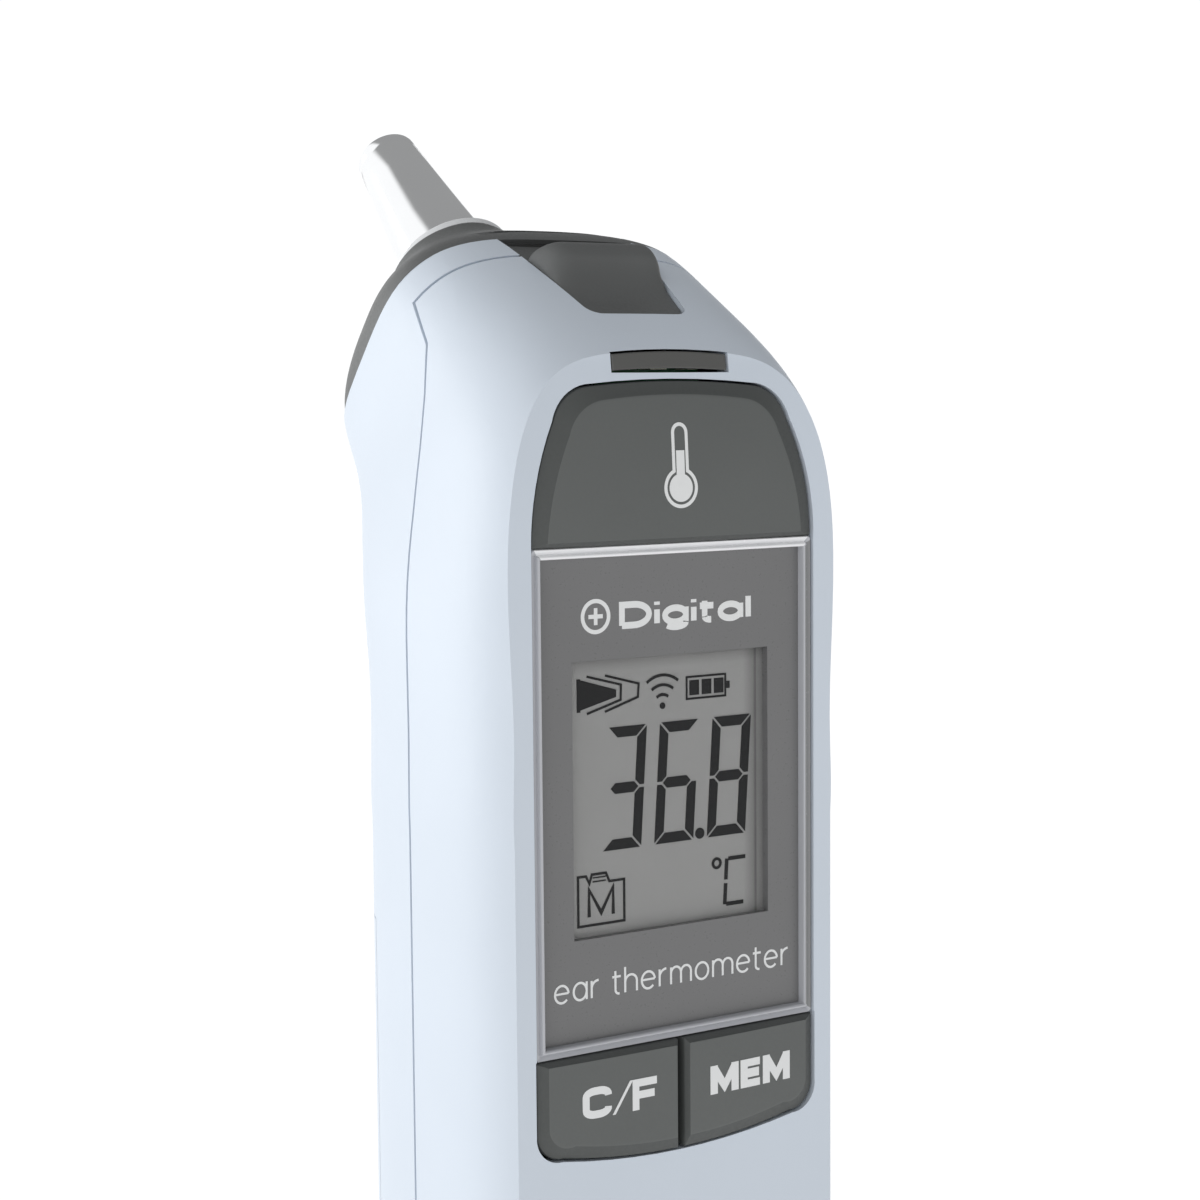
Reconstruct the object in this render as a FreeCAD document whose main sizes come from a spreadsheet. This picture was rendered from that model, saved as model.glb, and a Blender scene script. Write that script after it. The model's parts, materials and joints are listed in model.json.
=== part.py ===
import FreeCAD, Part
import Sketcher
import math
import os

# Digital ear thermometer. Millimetres, +Z up, display facing -Y, probe leaning to +Y.
# The origin is the middle of the flat face under the handle.
#
# Local frames used below:
#   handle frame  the world frame
#   head frame    origin on the probe axis in the plane where the dark head cap starts, Z along the probe,
#                 Y towards the back and down
#   slope frame   origin at the front of the ejector's notch, Y up the slope, Z out of the housing

Vector = FreeCAD.Vector
Rotation = FreeCAD.Rotation
Placement = FreeCAD.Placement
xAxis = Vector(1, 0, 0)
yAxis = Vector(0, 1, 0)
zAxis = Vector(0, 0, 1)
far = 90.0        # reach of the cutting prisms, past everything
bite = 0.5        # how far a feature is sunk into what it is joined to

drivingSizes = {
    # housing
    "bodyHalfWidth": 22.4, "frontDepth": 20.0, "facetDepth": 16.0, "rearDepth": 15.8,
    "neckHeight": 101.0, "pivotReach": 46.5, "headTilt": 48.0, "shellWall": 2.0,
    "bendLead": 14.0, "baseRoundWidth": 2.5, "baseRoundHeight": 7.0, "archStart": 18.0, "archSetBack": 1.1,
    "seamHeight": 3.0, "seamGroove": 0.36, "grooveDepth": 0.5, "collarWidth": 4.0,
    # front opening, bezel and display stack
    "openingMargin": 5.06, "fitGap": 0.1, "keyGap": 0.22, "bezelHeight": 50.8,
    "displayCentreDrop": 10.0, "bezelBevel": 1.1, "panelThickness": 0.9,
    "windowWidth": 24.2, "windowHeight": 28.0, "glassWidth": 27.0, "glassHeight": 33.0,
    "glassThickness": 1.6, "guideThickness": 1.6, "frameWall": 1.2, "stripWidth": 2.2,
    # keys
    "measureKeyHeight": 16.2, "lowerKeyHeight": 11.4, "keyCrown": 0.6, "keyFlange": 0.8,
    "keySplit": 0.7, "domeRadius": 1.9, "domeHeight": 1.6, "flangeThickness": 1.0, "flangeClear": 0.2,
    "switchSide": 6.2, "switchHeight": 2.0,
    # indicator
    "barHalfWidth": 7.1, "barHeight": 1.85, "barRise": 33.5, "barDepth": 3.0,
    # circuit board
    "boardHalfWidth": 13.8, "boardThickness": 1.2, "boardFace": 8.0, "boardReachDown": 54.0,
    "boardReachUp": 29.0, "boardCorner": 1.5, "chipSide": 10.0, "chipThickness": 1.4, "chipRise": 4.0,
    "radioWidth": 12.0, "radioHeight": 9.0, "radioThickness": 1.8, "radioDrop": 16.0,
    "lampSpacing": 4.5, "lampHalfWidth": 1.0, "lampHalfHeight": 0.7, "lampThickness": 2.1,
    "lampBoardWidth": 12.8, "lampBoardHeight": 3.3, "lampBoardThickness": 1.0,
    # batteries and their bay
    "cellRadius": 5.25, "cellLength": 44.5, "cellGap": 0.8, "bayWall": 1.2, "cellClear": 0.35,
    "contactRoom": 4.0, "bayFloor": 9.2, "shelfDepth": 8.7, "shelfWall": 1.4,
    "doorHeight": 79.5, "doorGap": 0.15, "doorArch": 5.0,
    # screws
    "screwRadius": 1.2, "screwHeadRadius": 2.1, "bossRadius": 2.5, "bossReach": 17.5,
    "upperScrewHeight": 69.0, "lowerScrewHeight": 20.0,
    # head cap, ejector and probe
    "capInset": 0.12, "capWall": 1.6, "capLength": 16.0, "lipLength": 3.0, "probeOffset": 1.3,
    "baseRadius": 5.44, "tipRadius": 3.6, "coneStart": 19.3, "coneLength": 18.2, "coneWall": 0.7,
    "sleeveGap": 0.2, "sleeveWall": 1.1, "sleeveFlange": 7.3, "sleeveFlangeThickness": 0.8,
    "sleeveStart": 0.0, "sleeveEnd": 16.9, "notchFront": 9.47, "notchRise": 38.09,
    "slopeAngle": 31.0, "ejectTravel": 4.0, "notchHalfWidth": 6.0, "notchSpread": 0.149,
    "sledThickness": 0.95, "sledLength": 11.6, "tailDrop": 0.45, "tailLength": 15.9, "deckThickness": 1.2,
                "blockHalfWidth": 5.9,
    "chassisDrop": 6.0, "chassisThickness": 1.6, "postReach": 12.5, "guideRadius": 2.2,
    "springRadius": 1.4, "springWire": 0.3, "springPitch": 1.6,
    # sounder
    "buzzerRadius": 6.0, "buzzerThickness": 3.2, "buzzerSetBack": 0.4, "buzzerDrop": 9.0,
}

doc = FreeCAD.newDocument("EarThermometer")
sheet = doc.addObject("Spreadsheet::Sheet", "sizes")
for row, (alias, number) in enumerate(drivingSizes.items(), start=1):
    sheet.set(f"A{row}", alias)
    sheet.set(f"B{row}", str(number))
    sheet.setAlias(f"B{row}", alias)
doc.recompute()


def size(alias):
    """The number in the sheet's cell with this alias."""
    return float(sheet.get(alias))


# ---------------------------------------------------------------- values worked out from the sheet

facetY = -size("facetDepth")
neck = size("neckHeight")
wall = size("shellWall")
openHalf = size("bodyHalfWidth") - size("openingMargin") - size("fitGap")
displayZ = neck - size("displayCentreDrop")
bezelHalfHeight = size("bezelHeight") / 2
bezelTop = displayZ + bezelHalfHeight
bezelLow = displayZ - bezelHalfHeight
panelFront = facetY + size("bezelBevel")
boardFront = -size("boardFace")
boardBack = boardFront + size("boardThickness")
boardTop = neck + size("boardReachUp")
keyBack = facetY + wall
switchFront = boardFront - size("switchHeight")
cellX = size("cellRadius") + size("cellGap") / 2
cellY = size("shelfDepth") - 5.0
cellLow = size("bayFloor") + size("contactRoom") / 2
bayHalfWidth = cellX + size("cellRadius") + size("cellClear")
bayBack = cellY - size("cellRadius") - size("cellClear")
bayTop = cellLow + size("cellLength") + size("contactRoom") / 2
sleeveInner = size("baseRadius") + size("sleeveGap")
sleeveOuter = sleeveInner + size("sleeveWall")

headFrame = Placement(Vector(0, size("pivotReach"), neck), Rotation(xAxis, -size("headTilt")))
headFrame = headFrame.multiply(Placement(Vector(0, size("probeOffset") - size("pivotReach"), 0),
                                         Rotation()))


slopeFrame = Placement(Vector(0, -size("notchFront"), neck + size("notchRise")),
                       Rotation(xAxis, size("slopeAngle")))


# ---------------------------------------------------------------- shape helpers

def boxBetween(low, high):
    """A box from one corner to the other."""
    return Part.makeBox(high[0] - low[0], high[1] - low[1], high[2] - low[2], Vector(*low))


def cylinderBetween(radius, start, end):
    """A cylinder from one point on its axis to another."""
    span = Vector(*end) - Vector(*start)
    return Part.makeCylinder(radius, span.Length, Vector(*start), span)


def placed(shape, frame):
    """A copy of the shape moved into a frame."""
    copy = shape.copy()
    copy.Placement = frame.multiply(copy.Placement)
    return copy


def prismAcross(outline, halfWidth=far):
    """A wire in the YZ plane, extruded both ways along X."""
    face = Part.Face(outline)
    face.translate(Vector(-halfWidth, 0, 0))
    return face.extrude(Vector(2 * halfWidth, 0, 0))


def polygonYz(points):
    corners = [Vector(0, y, z) for y, z in points]
    return Part.makePolygon(corners + corners[:1])


def roundedSection(frame, halfWidth, front, rear, exponent, centre=0.0, count=32):
    """A squarish oval in the frame's XY plane, its front towards -Y, as one smooth closed curve."""
    points = []
    for step in range(count):
        turn = math.pi / 2 + 2 * math.pi * step / count
        across, along = math.cos(turn), math.sin(turn)
        depth = rear if along > 0 else front
        reach = (abs(across / halfWidth) ** exponent + abs(along / depth) ** exponent) ** (-1 / exponent)
        points.append(frame.multVec(Vector(reach * across, centre + reach * along, 0)))
    curve = Part.BSplineCurve()
    curve.interpolate(Points=points, PeriodicFlag=True)
    return Part.Wire([curve.toShape()])


def offsetLine(points, distance):
    """A polyline in the YZ plane moved sideways by a distance, with mitred corners."""
    moved = []
    for place, (y, z) in enumerate(points):
        before = points[max(place - 1, 0)]
        after = points[min(place + 1, len(points) - 1)]
        first = Vector(0, y - before[0], z - before[1])
        second = Vector(0, after[0] - y, after[1] - z)
        first = second if first.Length == 0 else first
        second = first if second.Length == 0 else second
        normals = [Vector(0, d.z, -d.y).normalize() for d in (first, second)]
        middle = (normals[0] + normals[1]).normalize()
        reach = distance / middle.dot(normals[0])
        moved.append((y + middle.y * reach, z + middle.z * reach))
    return moved


# ---------------------------------------------------------------- housing surfaces

# Share of the head's tilt, narrowing of the half-width, growth of the front and of the rear depth,
# and squareness of each section from the neck to the head cap.
bendRows = (
    (0.00, 0.00, 0.0, 0.0, 4.0),
    (0.25, 0.05, 2.7, 0.1, 4.0),
    (0.46, 1.00, 5.7, 0.3, 3.95),
    (0.60, 2.00, 4.4, 0.3, 3.9),
    (0.73, 2.90, 1.7, 0.1, 3.85),
    (0.865, 3.30, -1.0, -0.5, 3.8),
    (1.00, 3.60, -3.05, -1.5, 3.75),
)


def bendFrame(share):
    """The neck's XY plane, turned about the pivot behind the head by a share of the tilt."""
    pivot = Vector(0, size("pivotReach"), neck)
    turned = Placement(pivot, Rotation(xAxis, -share * size("headTilt")))
    return turned.multiply(Placement(-Vector(0, size("pivotReach"), 0), Rotation()))


def baseNarrowing(height):
    """How far the rounded end is drawn in at a height."""
    tall = size("baseRoundHeight")
    if height >= tall:
        return 0.0
    return size("baseRoundWidth") * (1 - math.sqrt(1 - ((tall - height) / tall) ** 2))


def facetPrism(setBack):
    """What the flat front takes off: everything in front of a facet that leans back near the top."""
    start = neck + size("archStart")
    lean = size("archSetBack")
    rise = size("barRise") - size("archStart")
    y = facetY + setBack
    corners = [Vector(0, y, -far), Vector(0, y, start), Vector(0, y + lean * 0.3, start + rise * 0.55),
               Vector(0, y + lean, start + rise), Vector(0, y + lean * 1.9, start + rise * 1.75),
               Vector(0, y - far, start + rise * 1.75), Vector(0, y - far, -far)]
    edges = [Part.LineSegment(corners[0], corners[1]).toShape(),
             Part.Arc(corners[1], corners[2], corners[3]).toShape()]
    for place in range(3, len(corners)):
        following = corners[(place + 1) % len(corners)]
        edges.append(Part.LineSegment(corners[place], following).toShape())
    return prismAcross(Part.Wire(edges))


def housingSolid(inset, floor=0.0, beyond=0.0):
    """The housing's outside, drawn in by an inset, from a floor to the head cap's plane or beyond it."""
    halfWidth = size("bodyHalfWidth") - inset
    front = size("frontDepth") - inset
    rear = size("rearDepth") - inset
    tall = size("baseRoundHeight")
    handleTop = neck - size("bendLead")

    def levelSection(height, drawn=0.0):
        frame = Placement(Vector(0, 0, height), Rotation())
        return roundedSection(frame, halfWidth - drawn, front - drawn, rear - drawn, 4.0)

    base = [levelSection(floor + share * tall, baseNarrowing(share * tall)) for share in (0, 0.07, 0.23,
                                                                                          0.5, 1)]
    handle = Part.Face(levelSection(floor + tall)).extrude(Vector(0, 0, handleTop - floor - tall))
    head = [levelSection(handleTop), levelSection(handleTop + size("bendLead") / 2)]
    for share, narrowing, frontGrowth, rearGrowth, squareness in bendRows:
        head.append(roundedSection(bendFrame(share), halfWidth - narrowing, front + frontGrowth,
                                   rear + rearGrowth, squareness, centre=0.5 * share))
    if beyond:
        last = head[-1].copy()
        last.translate(headFrame.Rotation.multVec(Vector(0, 0, beyond)))
        head.append(last)
    solid = handle.fuse([Part.makeLoft(base, True, False), Part.makeLoft(head, True, False)])
    return solid.cut(facetPrism(inset))


def seamLine():
    """The line between the front and the rear shell, seen from the side, from the base to over the dome."""
    low = size("seamHeight")
    points = [(-far, low), (-3.0, low), (-0.9, low + 0.9), (0.0, low + 3.0)]
    points += [(0.0, neck + 19.0), (0.2, neck + 25.0), (0.7, neck + 30.5), (1.6, neck + 35.6)]
    collar = headFrame.multVec(Vector(0, 0, -size("collarWidth")))
    up = headFrame.Rotation.multVec(Vector(0, -1, 0))
    meet = collar - up * ((collar.y - 5.2) / up.y)
    points.append((meet.y, meet.z))
    end = meet + up * far
    points.append((end.y, end.z))
    return points


def frontRegion(offset=0.0):
    """All the space in front of the seam, grown backwards by an offset."""
    line = offsetLine(seamLine(), offset)
    return prismAcross(polygonYz(line + [(-far * 2, line[-1][1]), (-far * 2, line[0][1])]))


def doorRegion(gap):
    """The space the battery cover takes up: behind the shelf and below an arched edge, less a gap."""
    half = size("bodyHalfWidth") + 5.0
    top = size("doorHeight") - gap
    side = top - size("doorArch")
    deep = far
    corners = [Vector(-half, 0, -far), Vector(-half, 0, side), Vector(0, 0, top), Vector(half, 0, side),
               Vector(half, 0, -far)]
    edges = [Part.LineSegment(corners[0], corners[1]).toShape(),
             Part.Arc(corners[1], corners[2], corners[3]).toShape(),
             Part.LineSegment(corners[3], corners[4]).toShape(),
             Part.LineSegment(corners[4], corners[0]).toShape()]
    face = Part.Face(Part.Wire(edges))
    face.translate(Vector(0, size("shelfDepth") + gap, 0))
    return face.extrude(Vector(0, deep, 0))


outer = housingSolid(0.0)
rootCore = housingSolid(wall - bite, floor=wall - bite)
cavity = housingSolid(wall, floor=wall, beyond=1.5)
grooveCore = housingSolid(size("grooveDepth"), floor=size("grooveDepth"), beyond=1.5)
seamStrip = frontRegion(size("seamGroove") / 2).cut(frontRegion(-size("seamGroove") / 2)).cut(grooveCore)


# ---------------------------------------------------------------- front opening and keys

def archEdges(grow):
    """Outline of the measuring key in the XZ plane: a flat foot, curved sides and a low arched top."""
    half = openHalf - size("keyGap") + size("fitGap") + grow
    foot = bezelTop - 0.05 + size("fitGap") - grow
    top = foot + size("measureKeyHeight") + 2 * grow
    corners = [Vector(-half, 0, foot), Vector(half, 0, foot)]
    sideMid = Vector(half - 0.75, 0, top - 9.6 - grow)
    sideEnd = Vector(half - 2.8, 0, top - 3.9 - grow)
    bendMid = Vector(half - 4.3, 0, top - 1.6 - grow * 0.4)
    bendEnd = Vector(half - 6.9, 0, top - 0.5)
    crown = Vector(0, 0, top)

    def mirrored(point):
        return Vector(-point.x, 0, point.z)

    return [Part.LineSegment(corners[0], corners[1]).toShape(),
            Part.Arc(corners[1], sideMid, sideEnd).toShape(),
            Part.Arc(sideEnd, bendMid, bendEnd).toShape(),
            Part.Arc(bendEnd, crown, mirrored(bendEnd)).toShape(),
            Part.Arc(mirrored(bendEnd), mirrored(bendMid), mirrored(sideEnd)).toShape(),
            Part.Arc(mirrored(sideEnd), mirrored(sideMid), corners[0]).toShape()]


def lowerEdges(grow):
    """Outline round the two lower keys in the XZ plane: straight sides, round corners, an arched foot."""
    half = openHalf - size("keyGap") + 2 * size("fitGap") + grow
    top = bezelLow - size("fitGap") + grow
    foot = top - size("lowerKeyHeight") - 2 * grow
    cornerZ = foot + 4.4
    bendX = half - 3.0
    arch = foot + 1.3
    points = [Vector(-half, 0, top), Vector(half, 0, top), Vector(half, 0, cornerZ),
              Vector(half - 0.85, 0, cornerZ - 2.3), Vector(bendX, 0, arch), Vector(0, 0, foot)]

    def mirrored(point):
        return Vector(-point.x, 0, point.z)

    return [Part.LineSegment(points[0], points[1]).toShape(),
            Part.LineSegment(points[1], points[2]).toShape(),
            Part.Arc(points[2], points[3], points[4]).toShape(),
            Part.Arc(points[4], points[5], mirrored(points[4])).toShape(),
            Part.Arc(mirrored(points[4]), mirrored(points[3]), mirrored(points[2])).toShape(),
            Part.LineSegment(mirrored(points[2]), points[0]).toShape()]


def slabFrom(edges, front, back):
    """A flat outline in the XZ plane made solid between two depths."""
    face = Part.Face(Part.Wire(edges))
    face.translate(Vector(0, front, 0))
    return face.extrude(Vector(0, back - front, 0))


def frontOpening():
    """The one hole in the front shell: the keys' outlines and the bezel between them."""
    grow = size("keyGap")
    deep = facetY + wall + 6.0
    middle = boxBetween((-openHalf - size("fitGap"), facetY - 6.0, bezelLow - 1.0),
                        (openHalf + size("fitGap"), deep, bezelTop + 1.0))
    return middle.fuse([slabFrom(archEdges(grow), facetY - 6.0, deep),
                        slabFrom(lowerEdges(grow), facetY - 6.0, deep)])


def crownedKey(edges, back):
    """A key's visible block, its front bulging by the crown and its back behind the shell's wall."""
    block = slabFrom(edges, facetY - 3.0, keyBack + back)
    bounds = block.BoundBox
    half = max(bounds.XMax, -bounds.XMin)
    crown = size("keyCrown")
    edge = 0.15
    rise = crown - edge
    radius = (half * half + rise * rise) / (2 * rise)
    middleZ = (bounds.ZMax + bounds.ZMin) / 2
    bulge = Part.makeCylinder(radius, far, Vector(0, facetY - crown + radius, middleZ - far / 2), zAxis)
    return block.common(bulge)


def leaningKeyTop(shape):
    """Sets the key's upper part back with the leaning facet above the display."""
    lean = facetPrism(-size("keyCrown"))
    return shape.cut(lean)


# ---------------------------------------------------------------- document objects

subParts = []


def addFeature(label, shape, frame=None):
    """A sub-part whose shape is worked out from the sheet by this file."""
    feature = doc.addObject("Part::Feature", label)
    feature.Label = label
    feature.Shape = shape
    feature.Placement = frame if frame else shape.Placement
    subParts.append(feature)
    return feature


def bind(thing, **expressions):
    """Binds an object's properties to expressions on the sheet."""
    for name, expression in expressions.items():
        thing.setExpression(name.replace("_", "."), expression)


def planeOf(body, role):
    return next(item for item in body.Origin.OriginFeatures if item.Role == role)


def newBody(label):
    body = doc.addObject("PartDesign::Body", label)
    body.Label = label
    subParts.append(body)
    return body


def newSketch(body, role, name):
    sketch = body.newObject("Sketcher::SketchObject", name)
    sketch.AttachmentSupport = [(planeOf(body, role), "")]
    sketch.MapMode = "FlatFace"
    return sketch


def centredRectangle(sketch, width, height):
    """A rectangle about the sketch's origin; width and height are expressions on the sheet."""
    first = sketch.GeometryCount
    corners = [Vector(-4, -3, 0), Vector(4, -3, 0), Vector(4, 3, 0), Vector(-4, 3, 0)]
    for place in range(4):
        sketch.addGeometry(Part.LineSegment(corners[place], corners[(place + 1) % 4]), False)
    for place in range(4):
        sketch.addConstraint(Sketcher.Constraint("Coincident", first + place, 2, first + (place + 1) % 4,
                                                 1))
    for place, kind in enumerate(("Horizontal", "Vertical", "Horizontal", "Vertical")):
        sketch.addConstraint(Sketcher.Constraint(kind, first + place))
    sketch.addConstraint(Sketcher.Constraint("Symmetric", first, 1, first + 2, 1, -1, 1))
    across = sketch.addConstraint(Sketcher.Constraint("DistanceX", first, 1, first, 2, 8.0))
    upward = sketch.addConstraint(Sketcher.Constraint("DistanceY", first + 1, 1, first + 1, 2, 6.0))
    sketch.setExpression(f"Constraints[{across}]", width)
    sketch.setExpression(f"Constraints[{upward}]", height)


def centredCircle(sketch, radius):
    """A circle about the sketch's origin; the radius is an expression on the sheet."""
    place = sketch.addGeometry(Part.Circle(Vector(0, 0, 0), zAxis, 1.0), False)
    sketch.addConstraint(Sketcher.Constraint("Coincident", place, 3, -1, 1))
    radial = sketch.addConstraint(Sketcher.Constraint("Radius", place, 1.0))
    sketch.setExpression(f"Constraints[{radial}]", radius)


def addPad(body, sketch, length, name):
    pad = body.newObject("PartDesign::Pad", name)
    pad.Profile = sketch
    pad.setExpression("Length", length)
    return pad


def addPocket(body, sketch, name):
    """A pocket right through, both ways from its sketch."""
    pocket = body.newObject("PartDesign::Pocket", name)
    pocket.Profile = sketch
    pocket.Type = "ThroughAll"
    pocket.Midplane = True
    return pocket


def plateBody(label, width, height, thickness, hole=None, corner=None):
    """An upright plate, its back face on the body's XZ plane and its middle on the body's origin."""
    body = newBody(label)
    sketch = newSketch(body, "XZ_Plane", label + "Outline")
    centredRectangle(sketch, width, height)
    pad = addPad(body, sketch, thickness, label + "Pad")
    if hole:
        opening = newSketch(body, "XZ_Plane", label + "Hole")
        centredRectangle(opening, *hole)
        addPocket(body, opening, label + "Pocket")
    if corner:
        doc.recompute()
        upright = [f"Edge{place + 1}" for place, edge in enumerate(pad.Shape.Edges)
                   if abs(edge.tangentAt(edge.FirstParameter).y) > 0.99]
        fillet = body.newObject("PartDesign::Fillet", label + "Corners")
        fillet.Base = (pad, upright)
        fillet.setExpression("Radius", corner)
    return body


def placeBody(body, x="0", y="0", z="0"):
    bind(body, Placement_Base_x=x, Placement_Base_y=y, Placement_Base_z=z)


# ---------------------------------------------------------------- housing sub-parts

def screwPlaces():
    reach = size("bossReach")
    heights = (size("upperScrewHeight"), size("lowerScrewHeight"))
    return [(side * reach, z) for z in heights for side in (-1, 1)]


def notchPrism(clearance, start, end, low, high, corner=1.8):
    """The ejector's tapered plan in the slope frame, made solid between two heights."""
    def half(y):
        return size("notchHalfWidth") + size("notchSpread") * y - clearance
    points = [Vector(-half(start), start, low), Vector(half(start), start, low),
              Vector(half(end), end, low), Vector(-half(end), end, low)]
    face = Part.Face(Part.makePolygon(points + points[:1]))
    solid = face.extrude(Vector(0, 0, high - low))
    if corner:
        front = [edge for edge in solid.Edges
                 if abs(edge.tangentAt(edge.FirstParameter).z) > 0.99 and edge.CenterOfMass.y < start + 0.1]
        solid = solid.makeFillet(corner, front)
    return placed(solid, slopeFrame)


def frontCover():
    shell = outer.cut(cavity).common(frontRegion())
    shell = shell.cut([frontOpening(), seamStrip])
    shell = shell.cut(notchPrism(0.0, 0.0, 30.0, -6.0, 12.0))
    bar = indicatorPrism(size("fitGap"), facetY - 6.0, 0.0)
    shell = shell.cut(bar)
    inside = rootCore
    for x, z in screwPlaces():
        boss = cylinderBetween(size("bossRadius"), (x, keyBack, z), (x, -0.4, z))
        web = boxBetween((min(x, 3 * x), keyBack, z - 0.7), (max(x, 3 * x), -3.0, z + 0.7))
        post = boss.fuse(web).common(inside)
        pilot = cylinderBetween(size("screwRadius") - 0.15, (x, -11.0, z), (x, 1.0, z))
        shell = shell.fuse(post).cut(pilot)
    return shell


def rearCover():
    shell = outer.cut(cavity).cut(frontRegion()).cut(doorRegion(0.0))
    shell = shell.cut(seamStrip).cut(notchPrism(0.0, 0.0, 30.0, -6.0, 12.0))
    inside = rootCore
    shelfBack = size("shelfDepth")
    shelf = boxBetween((-far, shelfBack - size("shelfWall"), -far),
                       (far, shelfBack, size("doorHeight") + 1.8))
    ceiling = boxBetween((-far, shelfBack - size("shelfWall"), size("doorHeight") + 0.4),
                         (far, far, size("doorHeight") + 1.8))
    added = shelf.fuse(ceiling).common(inside)
    bay = boxBetween((-bayHalfWidth - size("bayWall"), bayBack - size("bayWall"),
                      size("bayFloor") - size("bayWall")),
                     (bayHalfWidth + size("bayWall"), shelfBack, bayTop + size("bayWall")))
    hollow = boxBetween((-bayHalfWidth, bayBack, size("bayFloor")), (bayHalfWidth, far, bayTop))
    shell = shell.fuse(added).fuse(bay).cut(hollow)
    for x, z in screwPlaces():
        boss = cylinderBetween(size("bossRadius"), (x, 0.4, z), (x, shelfBack - 0.5, z)).common(inside)
        head = cylinderBetween(size("screwHeadRadius") + 0.2, (x, 5.4, z), (x, far, z))
        shaft = cylinderBetween(size("screwRadius") + 0.2, (x, 0.0, z), (x, far, z))
        shell = shell.fuse(boss).cut(head).cut(shaft)
    for place in range(-2, 3):
        z = buzzerHeight() + 1.9 * place
        slot = boxBetween((-4.6 + 0.5 * abs(place), 10.0, z - 0.4), (4.6 - 0.5 * abs(place), far, z + 0.4))
        shell = shell.cut(slot)
    return shell


def batteryCover():
    """The slide-off cover, with two ribs that run along the shelf and a ribbed thumb pad."""
    cover = outer.cut(cavity).common(doorRegion(size("doorGap")))
    inside = rootCore
    for side in (-1, 1):
        x = side * (bayHalfWidth + 3.0)
        rib = boxBetween((x - 0.7, size("shelfDepth") + size("doorGap"), 6.0),
                         (x + 0.7, far, size("doorHeight") - 8.0))
        cover = cover.fuse(rib.common(inside))
    for place in range(6):
        z = 16.0 + 2.2 * place
        half = 7.0 - 0.5 * abs(place - 2.5)
        groove = boxBetween((-half, size("rearDepth") - 0.35, z), (half, far, z + 1.1))
        cover = cover.cut(groove)
    return cover


def indicatorPrism(gap, front, back):
    """The status light's bar in plan, with a gently arched top, made solid between two depths."""
    half = size("barHalfWidth") + gap
    low = neck + size("barRise") - size("barHeight") / 2 - gap
    high = neck + size("barRise") + size("barHeight") / 2 + gap
    edges = [Part.LineSegment(Vector(-half, 0, low), Vector(half, 0, low)).toShape(),
             Part.LineSegment(Vector(half, 0, low), Vector(half, 0, high)).toShape(),
             Part.Arc(Vector(half, 0, high), Vector(0, 0, high + 0.3), Vector(-half, 0, high)).toShape(),
             Part.LineSegment(Vector(-half, 0, high), Vector(-half, 0, low)).toShape()]
    return slabFrom(edges, front, back)


def indicatorBar():
    """The dark lens over the status light, its face leaning with the front."""
    bar = indicatorPrism(0.0, facetY - 3.0, facetY + size("barDepth"))
    return bar.cut(facetPrism(0.05))


def displayBezel():
    """A light frame whose bevel leads down to the display panel."""
    half = openHalf
    outline = boxBetween((-half, facetY, bezelLow), (half, keyBack, bezelTop))
    bevel = size("bezelBevel")
    lowZ, topZ = bezelLow, bezelTop
    frontWire = Part.makePolygon([Vector(-half, facetY, lowZ), Vector(half, facetY, lowZ),
                                  Vector(half, facetY, topZ),
                                  Vector(-half, facetY, topZ), Vector(-half, facetY, lowZ)])
    inner = half - bevel
    backWire = Part.makePolygon([Vector(-inner, panelFront, lowZ + bevel),
                                 Vector(inner, panelFront, lowZ + bevel),
                                 Vector(inner, panelFront, topZ - bevel),
                                 Vector(-inner, panelFront, topZ - bevel),
                                 Vector(-inner, panelFront, lowZ + bevel)])
    funnel = Part.makeLoft([frontWire, backWire], True, True)
    rim = 0.08
    funnel = funnel.common(boxBetween((-half + rim, facetY - 1, lowZ + rim), (half - rim, 0, topZ - rim)))
    seat = boxBetween((-inner, panelFront, lowZ + bevel), (inner, keyBack + 1, topZ - bevel))
    return outline.cut(funnel).cut(seat)


def measureKey():
    clear = size("flangeClear")
    deep = size("flangeThickness") + size("archSetBack") - 0.1
    block = leaningKeyTop(crownedKey(archEdges(0.0), deep - clear))
    flange = slabFrom(archEdges(size("keyFlange")), keyBack + clear, keyBack + clear + deep)
    flange = flange.cut(facetPrism(wall + clear))
    keep = boxBetween((-far, -far, bezelTop - 0.9), (far, 0, far * 3))
    stemZ = measureStemHeight()
    stem = cylinderBetween(2.4, (0, keyBack + 1.0, stemZ), (0, switchFront - size("domeHeight"), stemZ))
    return block.fuse(flange.common(keep)).fuse(stem)


def lowerKey(side):
    """One of the two lower keys; side is -1 for the left one and 1 for the right one."""
    split = size("keySplit") / 2
    keep = boxBetween((split, -far, -far), (far, 0, far * 3))
    if side < 0:
        keep = boxBetween((-far, -far, -far), (-split, 0, far * 3))
    clear = size("flangeClear")
    block = crownedKey(lowerEdges(0.0), clear).common(keep)
    behind = keyBack + clear
    flange = slabFrom(lowerEdges(size("keyFlange")), behind, behind + size("flangeThickness")).common(keep)
    below = boxBetween((-far, -far, -far), (far, 0, bezelLow + 0.8))
    x = side * openHalf / 2
    z = lowerStemHeight()
    stem = cylinderBetween(2.0, (x, keyBack + 1.0, z), (x, switchFront - size("domeHeight"), z))
    return block.fuse(flange.common(below)).fuse(stem)


def measureStemHeight():
    return bezelTop + size("measureKeyHeight") * 0.42


def lowerStemHeight():
    return bezelLow - size("lowerKeyHeight") * 0.5


def buzzerHeight():
    return neck - size("buzzerDrop")


# ---------------------------------------------------------------- head sub-parts

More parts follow.
